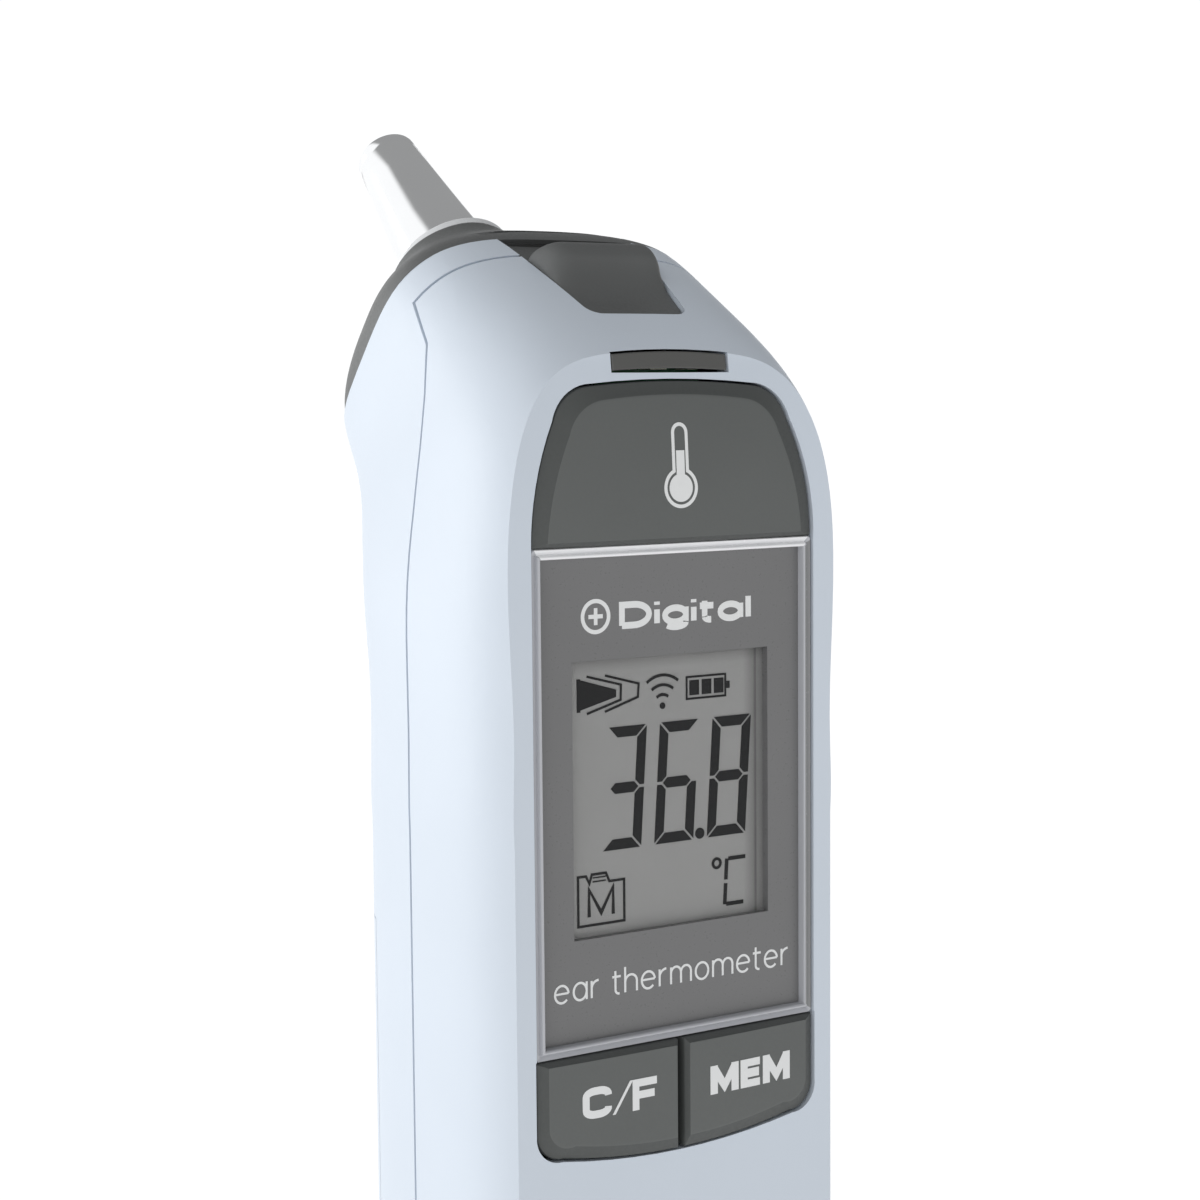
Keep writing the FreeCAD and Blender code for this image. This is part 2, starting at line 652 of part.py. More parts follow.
# Distance along the probe axis, share of the half-width and of the half-height kept, squareness.
capRows = (
    (0.00, 1.000, 1.000, 3.75),
    (0.10, 0.988, 0.980, 3.5),
    (0.22, 0.945, 0.925, 3.1),
    (0.42, 0.820, 0.795, 2.7),
    (0.62, 0.675, 0.660, 2.4),
    (0.82, 0.520, 0.535, 2.15),
    (1.00, 0.420, 0.470, 2.0),
)


def headPlane(distance):
    """The head cap's starting plane, moved along the probe."""
    return bendFrame(1.0).multiply(Placement(Vector(0, 0, distance), Rotation()))


def capLoft(inset, low, high):
    """The head cap's outside, drawn in by an inset; the plane of each end is moved by low and high."""
    startHalf = size("bodyHalfWidth") - bendRows[-1][1] - size("capInset")
    startFront = size("frontDepth") + bendRows[-1][2]
    startRear = size("rearDepth") + bendRows[-1][3]
    startDepth = (startFront + startRear) / 2 - size("capInset")
    startCentre = 0.5 - (startFront - startRear) / 2
    wires = []
    for place, (share, across, upright, squareness) in enumerate(capRows):
        distance = share * size("capLength")
        if place == 0:
            distance += low
        if place == len(capRows) - 1:
            distance += high
        centre = startCentre + (size("probeOffset") - startCentre) * share
        wires.append(roundedSection(headPlane(distance), startHalf * across - inset,
                                    startDepth * upright - inset,
                                    startDepth * upright - inset, squareness, centre=centre))
    return Part.makeLoft(wires, True, False)


def headCap():
    """The dark cap with its lip, the deck under the ejector, the spring stop and the chassis posts."""
    body = capLoft(0.0, 0.0, 0.0)
    plug = cavityPlug(-size("lipLength"), 0.0, size("fitGap"))
    hollow = capLoft(size("capWall"), 0.0, -size("capWall"))
    plugHollow = cavityPlug(-size("lipLength") - 1.0, 0.02, size("fitGap") + size("capWall"))
    cap = body.fuse(plug).cut([hollow, plugHollow])
    nose = Part.makeCylinder(sleeveOuter + 0.25, far, Vector(0, 0, 5.0))
    cap = cap.cut(placed(nose, headFrame))
    top = -size("sledThickness") - 0.12
    deck = notchPrism(size("fitGap"), size("fitGap"), 18.4, top - size("deckThickness"), top, corner=1.6)
    deck = deck.cut(placed(boxBetween((-2.5, 1.8, -9), (2.5, 4.2 + size("ejectTravel"), 2)), slopeFrame))
    beyond = placed(boxBetween((-far, -far, 1.4), (far, far, far)), headFrame)
    deck = deck.cut(beyond)
    stop = placed(boxBetween((-2.6, 14.4, -6.0), (2.6, 15.6, top - 0.3)), slopeFrame)
    cap = cap.fuse(deck).fuse(stop)
    sledRoom = notchPrism(-0.3, 0.0, 17.2, top, 4.0, corner=0)
    cap = cap.cut(sledRoom.cut(placed(boxBetween((-far, -far, 0.0), (far, far, far)), headFrame)))
    slotEnd = size("tailLength") + size("ejectTravel") + 0.4
    cap = cap.cut(notchPrism(-0.3, size("tailLength") - 0.1, slotEnd, top, 0.1 - size("tailDrop"),
                             corner=0))
    drop = -size("chassisDrop") + size("chassisThickness")
    for side in (-1, 1):
        post = cylinderBetween(1.9, (side * size("postReach"), 0, drop), (side * size("postReach"), 0, 7.5))
        post = placed(post, headFrame).common(capLoft(0.3, -far / 4,
                                                      0.0).fuse(cavityPlug(-far / 8, 1.0, 0.3)))
        pilot = cylinderBetween(0.7, (side * size("postReach"), 0, drop - 1),
                                (side * size("postReach"), 0, drop + 6))
        cap = cap.fuse(post).cut(placed(pilot, headFrame))
    return cap


def cavityPlug(low, high, gap):
    """A straight plug along the probe axis that fits the housing's open end with a gap."""
    halfWidth = size("bodyHalfWidth") - bendRows[-1][1] - wall - gap
    front = size("frontDepth") + bendRows[-1][2] - wall - gap
    rear = size("rearDepth") + bendRows[-1][3] - wall - gap
    wires = [roundedSection(headPlane(distance), halfWidth, front, rear, 3.75,
                            centre=0.5) for distance in (low, high)]
    return Part.makeLoft(wires, True, True)


def ejectorButton():
    """Sled, thumb block with a hollowed front, and the stem that goes down through the deck."""
    gap = 0.12
    sled = notchPrism(gap, gap, size("sledLength"), -size("sledThickness"), 0.0)
    tail = notchPrism(gap, size("sledLength") - bite, size("tailLength"), -size("sledThickness"),
                      -size("tailDrop"), corner=0)
    half = size("blockHalfWidth")
    profile = [Vector(-half, 1.9, -bite), Vector(-half, 1.9, 0.0), Vector(-half, 5.7, 0.75),
               Vector(-half, 8.0, 2.75),
               Vector(-half, 9.6, 3.3), Vector(-half, 11.2, 2.3), Vector(-half, 10.9, -bite)]
    edges = [Part.LineSegment(profile[0], profile[1]).toShape(),
             Part.Arc(profile[1], profile[2], profile[3]).toShape(),
             Part.Arc(profile[3], profile[4], profile[5]).toShape(),
             Part.LineSegment(profile[5], profile[6]).toShape(),
             Part.LineSegment(profile[6], profile[0]).toShape()]
    block = Part.Face(Part.Wire(edges)).extrude(Vector(2 * half, 0, 0))
    stem = boxBetween((-2.2, stemFront, -stemLength()), (2.2, stemFront + 1.8, -0.5))
    return sled.fuse([tail, placed(block, slopeFrame), placed(stem, slopeFrame)])


stemFront = 2.1


def stemLength():
    return 8.0


def ejectorSleeve():
    """Ring round the probe's base, its flange outside the cap, and the arm that the stem pushes."""
    tube = Part.makeCylinder(sleeveOuter, size("sleeveEnd") - size("sleeveStart"),
                             Vector(0, 0, size("sleeveStart")))
    flangeStart = Vector(0, 0, size("sleeveEnd") - size("sleeveFlangeThickness"))
    flange = Part.makeCylinder(size("sleeveFlange"), size("sleeveFlangeThickness"), flangeStart)
    bore = Part.makeCylinder(sleeveInner, far, Vector(0, 0, -far / 2))
    web = boxBetween((-2.5, -11.2, size("sleeveStart")),
                     (2.5, -sleeveInner - 0.6, size("sleeveStart") + 2.0))
    stemAt = headFrame.inverse().multVec(slopeFrame.multVec(Vector(0, stemFront + 0.9, -stemLength())))
    arm = boxBetween((-2.5, -11.2, stemAt.z - 2.3), (2.5, -9.4, size("sleeveStart") + 2.0))
    sleeve = tube.fuse(flange).fuse(web).fuse(arm).cut(bore)
    for shift in (-2.3, 1.3):
        lug = boxBetween((-2.5, -13.2, stemAt.z + shift), (2.5, -11.0, stemAt.z + shift + 1.0))
        sleeve = sleeve.fuse(lug)
    slot = boxBetween((-2.6, -14.0, stemAt.z - 1.3), (2.6, -10.2, stemAt.z + 1.3))
    return placed(sleeve.cut(slot), headFrame)


def ejectorSpring():
    """Compression spring between the stem and the stop behind it."""
    start = stemFront + 1.85
    length = 14.35 - start
    helix = Part.makeHelix(size("springPitch"), length - 2 * size("springWire"), size("springRadius"))
    ring = Part.Circle(Vector(size("springRadius"), 0, 0), yAxis, size("springWire"))
    wire = Part.Wire([helix.Edges[0]] if len(helix.Edges) == 1 else helix.Edges)
    coil = wire.makePipeShell([Part.Wire([ring.toShape()])], True, True)
    lay = Placement(Vector(0, start + size("springWire"), -4.0), Rotation(xAxis, -90))
    return placed(placed(coil, lay), slopeFrame)


def probeCone():
    """Polished tube and cone, open at the tip, with the flange that the chassis holds."""
    start = -size("chassisDrop") + size("chassisThickness")
    base = size("baseRadius")
    thin = size("coneWall")
    end = size("coneStart") + size("coneLength")
    points = [(base - thin, start), (8.0, start), (8.0, start + 1.0), (base, start + 1.0),
              (base, size("coneStart")),
              (size("tipRadius") + 0.25, end - 0.3), (size("tipRadius") - 0.1, end),
              (size("tipRadius") - thin, end),
              (size("tipRadius") - thin + 0.1, end - 1.2), (base - thin, size("coneStart"))]
    corners = [Vector(radius, 0, height) for radius, height in points]
    face = Part.Face(Part.makePolygon(corners + corners[:1]))
    return placed(face.revolve(Vector(), zAxis, 360), headFrame)


def ringSolid(outerRadius, innerRadius, low, high):
    ring = Part.makeCylinder(outerRadius, high - low, Vector(0, 0, low))
    if innerRadius:
        ring = ring.cut(Part.makeCylinder(innerRadius, high - low, Vector(0, 0, low)))
    return ring


def probeChassis():
    """Plate across the head that carries the probe, cut away above for the ejector's arm."""
    low = -size("chassisDrop")
    plate = ringSolid(9.4, 3.0, low, low + size("chassisThickness"))
    ears = boxBetween((-15.2, -3.2, low), (15.2, 3.2, low + size("chassisThickness")))
    plate = plate.fuse(ears).cut(Part.makeCylinder(3.0, far, Vector(0, 0, -far / 2)))
    plate = plate.cut(boxBetween((-3.2, -12.0, -far), (3.2, -9.0, far)))
    for side in (-1, 1):
        hole = cylinderBetween(1.0, (side * size("postReach"), 0, -far), (side * size("postReach"), 0, far))
        plate = plate.cut(hole)
    return placed(plate, headFrame)


def chassisScrews():
    shapes = []
    low = -size("chassisDrop")
    for side in (-1, 1):
        x = side * size("postReach")
        head = cylinderBetween(1.7, (x, 0, low - 1.1), (x, 0, low))
        shaft = cylinderBetween(0.65, (x, 0, low - 0.2), (x, 0, low + 6.0))
        cross = boxBetween((x - 1.1, -0.2, low - 1.3), (x + 1.1, 0.2, low - 0.7))
        shapes.append(head.fuse(shaft).cut(cross))
    return placed(Part.makeCompound(shapes), headFrame)


def housingScrews():
    shapes = []
    for x, z in screwPlaces():
        head = cylinderBetween(size("screwHeadRadius"), (x, 5.4, z), (x, 6.9, z))
        shaft = cylinderBetween(size("screwRadius") - 0.16, (x, -9.6, z), (x, 5.5, z))
        cross = boxBetween((x - 1.3, 6.3, z - 0.25), (x + 1.3, 7.2, z + 0.25))
        shapes.append(head.fuse(shaft).cut(cross))
    return Part.makeCompound(shapes)


def sensorFlex():
    """Flat cable from the thermal sensor down to the circuit board, along a smooth path."""
    sensorEnd = headFrame.multVec(Vector(0, 0, -size("chassisDrop") - 2.4))
    leave = headFrame.Rotation.multVec(Vector(0, 0, -1))
    boardEnd = Vector(0, boardBack + 0.35, boardTop - 6.0)
    first = sensorEnd + leave * 5.0
    second = Vector(0, boardEnd.y, boardEnd.z + 8.0)
    corners = [sensorEnd, first, second, boardEnd]
    path = roundedPath(corners, 2.5)
    across = headFrame.Rotation.multVec(yAxis)
    half = 2.0
    thin = 0.12
    section = Part.makePolygon([sensorEnd + xAxis * half + across * thin,
                                sensorEnd - xAxis * half + across * thin,
                                sensorEnd - xAxis * half - across * thin,
                                sensorEnd + xAxis * half - across * thin,
                                sensorEnd + xAxis * half + across * thin])
    return path.makePipeShell([section], True, False)


def roundedPath(corners, radius):
    """Straight runs joined by tangent arcs of one radius."""
    edges = []
    at = corners[0]
    for before, corner, after in zip(corners, corners[1:], corners[2:]):
        incoming = (corner - before).normalize()
        outgoing = (after - corner).normalize()
        turn = incoming.getAngle(outgoing)
        back = radius * math.tan(turn / 2)
        start = corner - incoming * back
        end = corner + outgoing * back
        inward = (outgoing - incoming).normalize()
        middle = corner + inward * (radius / math.cos(turn / 2) - radius)
        edges.append(Part.LineSegment(at, start).toShape())
        edges.append(Part.Arc(start, middle, end).toShape())
        at = end
    edges.append(Part.LineSegment(at, corners[-1]).toShape())
    return Part.Wire(edges)


# ---------------------------------------------------------------- building it all

def addHousing():
    addFeature("front_cover", frontCover())
    addFeature("rear_cover", rearCover())
    addFeature("battery_cover", batteryCover())
    addFeature("display_bezel", displayBezel())
    addFeature("indicator_bar", indicatorBar())
    addFeature("housing_screws", housingScrews())


def addKeys():
    addFeature("measure_button", measureKey())
    addFeature("unit_button", lowerKey(-1))
    addFeature("memory_button", lowerKey(1))


def addHead():
    addFeature("head_cap", headCap())
    addFeature("ejector_button", ejectorButton())
    addFeature("ejector_sleeve", ejectorSleeve())
    addFeature("ejector_spring", ejectorSpring())
    addFeature("probe_cone", probeCone())
    addFeature("probe_chassis", probeChassis())
    addFeature("chassis_screws", chassisScrews())
    addFeature("sensor_flex", sensorFlex())


def addDisplay():
    """Panel, window, display glass, light guide and the frame that holds them."""
    inner = "2 * (sizes.bodyHalfWidth - sizes.openingMargin - sizes.fitGap - sizes.bezelBevel)"
    panelHeight = "sizes.bezelHeight - 2 * sizes.bezelBevel"
    centre = "sizes.neckHeight - sizes.displayCentreDrop"
    panelBackY = "sizes.bezelBevel + sizes.panelThickness - sizes.facetDepth"
    panel = plateBody("display_panel", inner, panelHeight, "sizes.panelThickness",
                      hole=("sizes.windowWidth", "sizes.windowHeight"))
    placeBody(panel, y=panelBackY, z=centre)
    window = plateBody("display_window", "sizes.windowWidth", "sizes.windowHeight",
                       "0.5 * sizes.panelThickness")
    placeBody(window, y=panelBackY, z=centre)
    glass = plateBody("lcd_glass", "sizes.glassWidth", "sizes.glassHeight", "sizes.glassThickness")
    placeBody(glass, y=panelBackY + " + sizes.glassThickness", z=centre)
    guide = plateBody("light_guide", "sizes.glassWidth - 1", "sizes.glassHeight - 1",
                      "sizes.guideThickness")
    placeBody(guide, y=panelBackY + " + sizes.glassThickness + sizes.guideThickness", z=centre)
    depth = "sizes.facetDepth - sizes.bezelBevel - sizes.panelThickness - sizes.boardFace"
    outerWidth = "sizes.glassWidth + 2 * sizes.frameWall + 0.2"
    outerHeight = "sizes.glassHeight + 2 * sizes.frameWall + 2 * sizes.stripWidth + 0.6"
    frame = plateBody("lcd_frame", outerWidth, outerHeight,
                      depth, hole=("sizes.glassWidth + 0.2",
                                   "sizes.glassHeight + 2 * sizes.stripWidth + 0.6"))
    placeBody(frame, y="0 - sizes.boardFace", z=centre)
    for name, sign in (("upper_contact_strip", "+"), ("lower_contact_strip", "-")):
        strip = plateBody(name, "sizes.glassWidth - 2", "sizes.stripWidth", depth)
        place = f"{centre} {sign} (sizes.glassHeight / 2 + sizes.stripWidth / 2 + 0.15)"
        placeBody(strip, y="0 - sizes.boardFace", z=place)


def addBoard():
    """Circuit board with its chips, switches, key domes and status lights."""
    middle = "sizes.neckHeight + (sizes.boardReachUp - sizes.boardReachDown) / 2"
    back = "sizes.boardThickness - sizes.boardFace"
    board = plateBody("circuit_board", "2 * sizes.boardHalfWidth",
                      "sizes.boardReachUp + sizes.boardReachDown",
                      "sizes.boardThickness", corner="sizes.boardCorner")
    placeBody(board, y=back, z=middle)
    chip = plateBody("microcontroller", "sizes.chipSide", "sizes.chipSide", "sizes.chipThickness")
    placeBody(chip, y=back + " + sizes.chipThickness", z=middle + " + sizes.chipRise")
    radio = plateBody("wireless_module", "sizes.radioWidth", "sizes.radioHeight", "sizes.radioThickness")
    placeBody(radio, y=back + " + sizes.radioThickness", z=middle + " - sizes.radioDrop")
    places = ((0.0, measureStemHeight()), (-openHalf / 2, lowerStemHeight()),
              (openHalf / 2, lowerStemHeight()))
    for name, (x, z) in zip(("measure", "unit", "memory"), places):
        switch = plateBody(name + "_switch", "sizes.switchSide", "sizes.switchSide", "sizes.switchHeight")
        placeBody(switch, x=str(x), y="0 - sizes.boardFace", z=str(z))
        dome = newBody(name + "_dome")
        sketch = newSketch(dome, "XZ_Plane", name + "DomeOutline")
        centredCircle(sketch, "sizes.domeRadius")
        addPad(dome, sketch, "sizes.domeHeight", name + "DomePad")
        placeBody(dome, x=str(x), y="0 - sizes.boardFace - sizes.switchHeight", z=str(z))
    addStatusLights()


def addStatusLights():
    """Three lights behind the dark lens, on a small board of their own."""
    lights = []
    front = facetY + size("barDepth") + 0.2
    z = neck + size("barRise")
    for place in (-1, 0, 1):
        x = size("lampSpacing") * place
        lights.append(boxBetween((x - size("lampHalfWidth"), front, z - size("lampHalfHeight")),
                                 (x + size("lampHalfWidth"), front + size("lampThickness"),
                                  z + size("lampHalfHeight"))))
    addFeature("status_lights", Part.makeCompound(lights))
    board = plateBody("light_board", "sizes.lampBoardWidth", "sizes.lampBoardHeight",
                      "sizes.lampBoardThickness")
    behind = "sizes.barDepth + 0.2 + sizes.lampThickness + sizes.lampBoardThickness"
    placeBody(board, y=behind + " - sizes.facetDepth",
              z="sizes.neckHeight + sizes.barRise + sizes.lampHalfHeight + 0.1 - sizes.lampBoardHeight / 2")


def addBatteries():
    """Two cells side by side, upside down to each other, with their contacts."""
    length = size("cellLength")
    radius = size("cellRadius")
    for side, name in ((-1, "battery_left"), (1, "battery_right")):
        can = Part.makeCylinder(radius, length - 0.9)
        nub = Part.makeCylinder(1.9, 0.9, Vector(0, 0, length - 0.9))
        cell = can.makeFillet(0.5, [edge for edge in can.Edges if len(edge.Vertexes) == 1]).fuse(nub)
        frame = Placement(Vector(side * cellX, cellY, cellLow), Rotation())
        if side > 0:
            frame = Placement(Vector(side * cellX, cellY, cellLow + length), Rotation(xAxis, 180))
        addFeature(name, cell, frame)
    plates = []
    springs = []
    for side in (-1, 1):
        for low in (True, False):
            z = size("bayFloor") if low else bayTop - 0.35
            plates.append(boxBetween((side * cellX - 4.2, cellY - 4.0, z),
                                     (side * cellX + 4.2, cellY + 4.0, z + 0.35)))
            negative = (side < 0) == low
            if negative:
                start = z + 0.35 if low else cellLow + length
                end = cellLow if low else z
                springs.append(Part.makeCone(3.6, 2.2, end - start,
                                             Vector(side * cellX, cellY, start)) if low
                               else Part.makeCone(2.2, 3.6, end - start,
                                                  Vector(side * cellX, cellY, start)))
    addFeature("battery_plates", Part.makeCompound(plates))
    addFeature("battery_springs", Part.makeCompound([hollowed(shape) for shape in springs]))


def hollowed(cone):
    """A spring's envelope: the cone with its core removed."""
    bounds = cone.BoundBox
    core = Part.makeCylinder(1.4, bounds.ZLength + 2, Vector((bounds.XMin + bounds.XMax) / 2,
                                                            (bounds.YMin + bounds.YMax) / 2,
                                                             bounds.ZMin - 1))
    return cone.cut(core)


def addSensor():
    """Window, light tube, sensor and holder along the probe's axis, as plain primitives."""
    end = size("coneStart") + size("coneLength")
    bore = size("tipRadius") - size("coneWall")
    addFeature("probe_window", placed(ringSolid(bore, 0, end - 0.9, end - 0.4), headFrame))
    addFeature("tip_ring", placed(ringSolid(bore, size("guideRadius"), end - 1.9, end - 0.9), headFrame))
    start = size("coneStart") - 6.0
    addFeature("waveguide_tube", placed(ringSolid(size("guideRadius"), size("guideRadius") - 0.4, start,
                                                  end - 1.9),
                                        headFrame))
    can = ringSolid(2.75, 0, start - 4.0, start).fuse(ringSolid(3.2, 0, start - 4.0, start - 3.6))
    pins = [cylinderBetween(0.25, (x, y, start - 7.0), (x, y, start - 4.0)) for x in (-1, 1) for y in (-1,
                                                                                                       1)]
    addFeature("sensor_can", placed(can.fuse(pins), headFrame))
    holderRadius = size("baseRadius") - size("coneWall") - 0.05
    holder = ringSolid(holderRadius, 3.2, start - 4.0, start + 5.0)
    holder = holder.fuse(ringSolid(holderRadius, size("guideRadius"), start, start + 5.0))
    holder = holder.cut(Part.makeCylinder(2.75, 4.0, Vector(0, 0, start - 4.0)))
    addFeature("sensor_holder", placed(holder, headFrame))


def addBuzzer():
    """The round sounder against the rear shell's slots."""
    buzzer = newBody("buzzer")
    sketch = newSketch(buzzer, "XZ_Plane", "buzzerOutline")
    centredCircle(sketch, "sizes.buzzerRadius")
    addPad(buzzer, sketch, "sizes.buzzerThickness", "buzzerPad")
    placeBody(buzzer, y="sizes.rearDepth - sizes.shellWall - sizes.buzzerSetBack",
              z="sizes.neckHeight - sizes.buzzerDrop")


addHousing()
addKeys()
addHead()
addDisplay()
addBoard()
addBatteries()
addSensor()
addBuzzer()
doc.recompute()

for item in doc.Objects:
    if "Invalid" in item.State or "Error" in item.State:
        raise RuntimeError(f"{item.Label} did not build: {item.State}")
for part in subParts:
    if part.Shape.isNull() or not part.Shape.isValid() or not part.Shape.Solids:
        raise RuntimeError(f"{part.Label} has no valid solid")

os.makedirs("parts", exist_ok=True)
for part in subParts:
    part.Shape.exportStep(f"parts/{part.Label}.step")
    print(part.Label, len(part.Shape.Solids), round(part.Shape.Volume, 1))
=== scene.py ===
import json
import math

import bmesh
import bpy
from mathutils import Matrix, Vector


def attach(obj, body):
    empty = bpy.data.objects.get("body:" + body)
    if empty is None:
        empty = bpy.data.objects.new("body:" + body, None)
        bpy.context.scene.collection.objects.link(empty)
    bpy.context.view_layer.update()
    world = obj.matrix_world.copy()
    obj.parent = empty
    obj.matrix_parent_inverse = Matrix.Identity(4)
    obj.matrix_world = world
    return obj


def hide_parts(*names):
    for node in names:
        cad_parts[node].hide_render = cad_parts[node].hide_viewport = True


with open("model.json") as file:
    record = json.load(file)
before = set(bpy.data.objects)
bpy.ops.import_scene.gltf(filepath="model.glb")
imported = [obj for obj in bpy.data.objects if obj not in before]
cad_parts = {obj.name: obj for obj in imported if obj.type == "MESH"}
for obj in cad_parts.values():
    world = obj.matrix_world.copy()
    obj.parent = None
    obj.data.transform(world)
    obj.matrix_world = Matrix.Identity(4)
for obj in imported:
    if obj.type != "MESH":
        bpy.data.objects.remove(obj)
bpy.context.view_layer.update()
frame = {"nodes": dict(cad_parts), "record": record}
mm = 0.001
scene = bpy.context.scene
print("frame loaded:", len(frame["nodes"]), "parts")


# small workshop helpers

def newPiece(name, points, faces, materials=(), faceSlots=None, smooth=30):
    mesh = bpy.data.meshes.new(name)
    mesh.from_pydata([tuple(p) for p in points], [], faces)
    mesh.validate()
    for material in materials:
        mesh.materials.append(material)
    if faceSlots:
        mesh.polygons.foreach_set("material_index", faceSlots)
    piece = bpy.data.objects.new(name, mesh)
    scene.collection.objects.link(piece)
    softenShading(mesh, smooth)
    return piece


def softenShading(mesh, angle):
    mesh.polygons.foreach_set("use_smooth", [True] * len(mesh.polygons))
    mesh.set_sharp_from_angle(angle=math.radians(angle))
    mesh.update()


def turnOutwards(piece):
    work = bmesh.new()
    work.from_mesh(piece.data)
    bmesh.ops.remove_doubles(work, verts=work.verts, dist=1e-7)
    bmesh.ops.recalc_face_normals(work, faces=work.faces)
    work.to_mesh(piece.data)
    work.free()
    piece.data.update()
    return piece


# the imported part's mesh is loose triangles, so a copy is merged before it is shaded
def mergedCopy(node, name, material, smooth=28):
    work = bmesh.new()
    work.from_mesh(frame["nodes"][node].data)
    bmesh.ops.remove_doubles(work, verts=work.verts, dist=2e-7)
    work.verts.index_update()
    points = [v.co.copy() for v in work.verts]
    faces = [[v.index for v in face.verts] for face in work.faces]
    work.free()
    return newPiece(name, points, faces, [material], smooth=smooth)


# finishes

def wire(tree, start, end):
    tree.links.new(start, end)


def blankFinish(name):
    material = bpy.data.materials.new(name)
    material.use_nodes = True
    tree = material.node_tree
    return material, tree, tree.nodes["Principled BSDF"]


def noiseAt(tree, scale, detail=2.0):
    place = tree.nodes.new("ShaderNodeTexCoord").outputs["Object"]
    noise = tree.nodes.new("ShaderNodeTexNoise")
    noise.inputs["Scale"].default_value = scale
    noise.inputs["Detail"].default_value = detail
    wire(tree, place, noise.inputs["Vector"])
    return noise.outputs["Fac"]


def rangeOf(tree, value, low, high):
    node = tree.nodes.new("ShaderNodeMapRange")
    node.inputs["From Min"].default_value = 0.3
    node.inputs["From Max"].default_value = 0.7
    node.inputs["To Min"].default_value = low
    node.inputs["To Max"].default_value = high
    wire(tree, value, node.inputs["Value"])
    return node.outputs["Result"]


def twoTones(tree, value, first, second):
    node = tree.nodes.new("ShaderNodeMix")
    node.data_type = "RGBA"
    node.inputs["A"].default_value = (*first, 1)
    node.inputs["B"].default_value = (*second, 1)
    wire(tree, value, node.inputs["Factor"])
    return node.outputs["Result"]


def moulded(name, colour, rough=0.4, drift=0.03, driftScale=60, grainScale=2500, grain=0.25, metal=0.0,
            coat=0.0, specular=0.5, alpha=1.0):
    material, tree, shader = blankFinish(name)
    slow = noiseAt(tree, driftScale, 3)
    fine = noiseAt(tree, grainScale)
    darker = [c * (1 - drift) for c in colour]
    lighter = [min(1, c * (1 + drift)) for c in colour]
    wire(tree, twoTones(tree, rangeOf(tree, slow, 0, 1), darker, lighter), shader.inputs["Base Color"])
    wire(tree, rangeOf(tree, fine, rough * 0.9, rough * 1.12), shader.inputs["Roughness"])
    bump = tree.nodes.new("ShaderNodeBump")
    bump.inputs["Strength"].default_value = grain
    bump.inputs["Distance"].default_value = 0.02 * mm
    wire(tree, fine, bump.inputs["Height"])
    wire(tree, bump.outputs["Normal"], shader.inputs["Normal"])
    shader.inputs["Metallic"].default_value = metal
    shader.inputs["Coat Weight"].default_value = coat
    shader.inputs["Coat Roughness"].default_value = 0.15
    shader.inputs["Specular IOR Level"].default_value = specular
    shader.inputs["Alpha"].default_value = alpha
    return material


# painted shade on the display: colour shares along X near the right edge and along Z near the top edge
paintedDisplayShade = {"right": ((9.6, 1.0), (10.9, 0.66), (11.12, 0.4), (11.22, 0.4), (11.36, 0.7), (12.1, 0.66)),
               "top": ((103.6, 1.0), (104.9, 0.72))}


# the display lies deep in its window; painted shade darkens its colour softly near the right and top edges
def displayWithPaintedShade(name, colour, look):
    material = moulded(name, colour, rough=0.5, drift=0.01, driftScale=120, grain=0.05, specular=0.3)
    tree = material.node_tree
    shader = tree.nodes["Principled BSDF"]
    plain = shader.inputs["Base Color"].links[0].from_socket
    place = tree.nodes.new("ShaderNodeTexCoord").outputs["Object"]
    split = tree.nodes.new("ShaderNodeSeparateXYZ")
    wire(tree, place, split.inputs["Vector"])
    # painted shade: the colour is multiplied by a ramp along X towards the right edge and along Z towards the
    # top edge
    for axis, key in (("X", "right"), ("Z", "top")):
        stops = look[key]
        first, last = stops[0][0], stops[-1][0]
        along = tree.nodes.new("ShaderNodeMapRange")
        along.inputs["From Min"].default_value = first * mm
        along.inputs["From Max"].default_value = last * mm
        wire(tree, split.outputs[axis], along.inputs["Value"])
        ramp = tree.nodes.new("ShaderNodeValToRGB")
        for place, share in stops[1:-1]:
            ramp.color_ramp.elements.new((place - first) / (last - first)).color = (share, share, share, 1)
        for element, share in ((ramp.color_ramp.elements[0], stops[0][1]),
                               (ramp.color_ramp.elements[-1], stops[-1][1])):
            element.color = (share, share, share, 1)
        wire(tree, along.outputs["Result"], ramp.inputs["Fac"])
        dim = tree.nodes.new("ShaderNodeMix")
        dim.data_type = "RGBA"
        dim.blend_type = "MULTIPLY"
        dim.inputs["Factor"].default_value = 1.0
        wire(tree, plain, dim.inputs["A"])
        wire(tree, ramp.outputs["Color"], dim.inputs["B"])
        plain = dim.outputs["Result"]
    wire(tree, plain, shader.inputs["Base Color"])
    return material


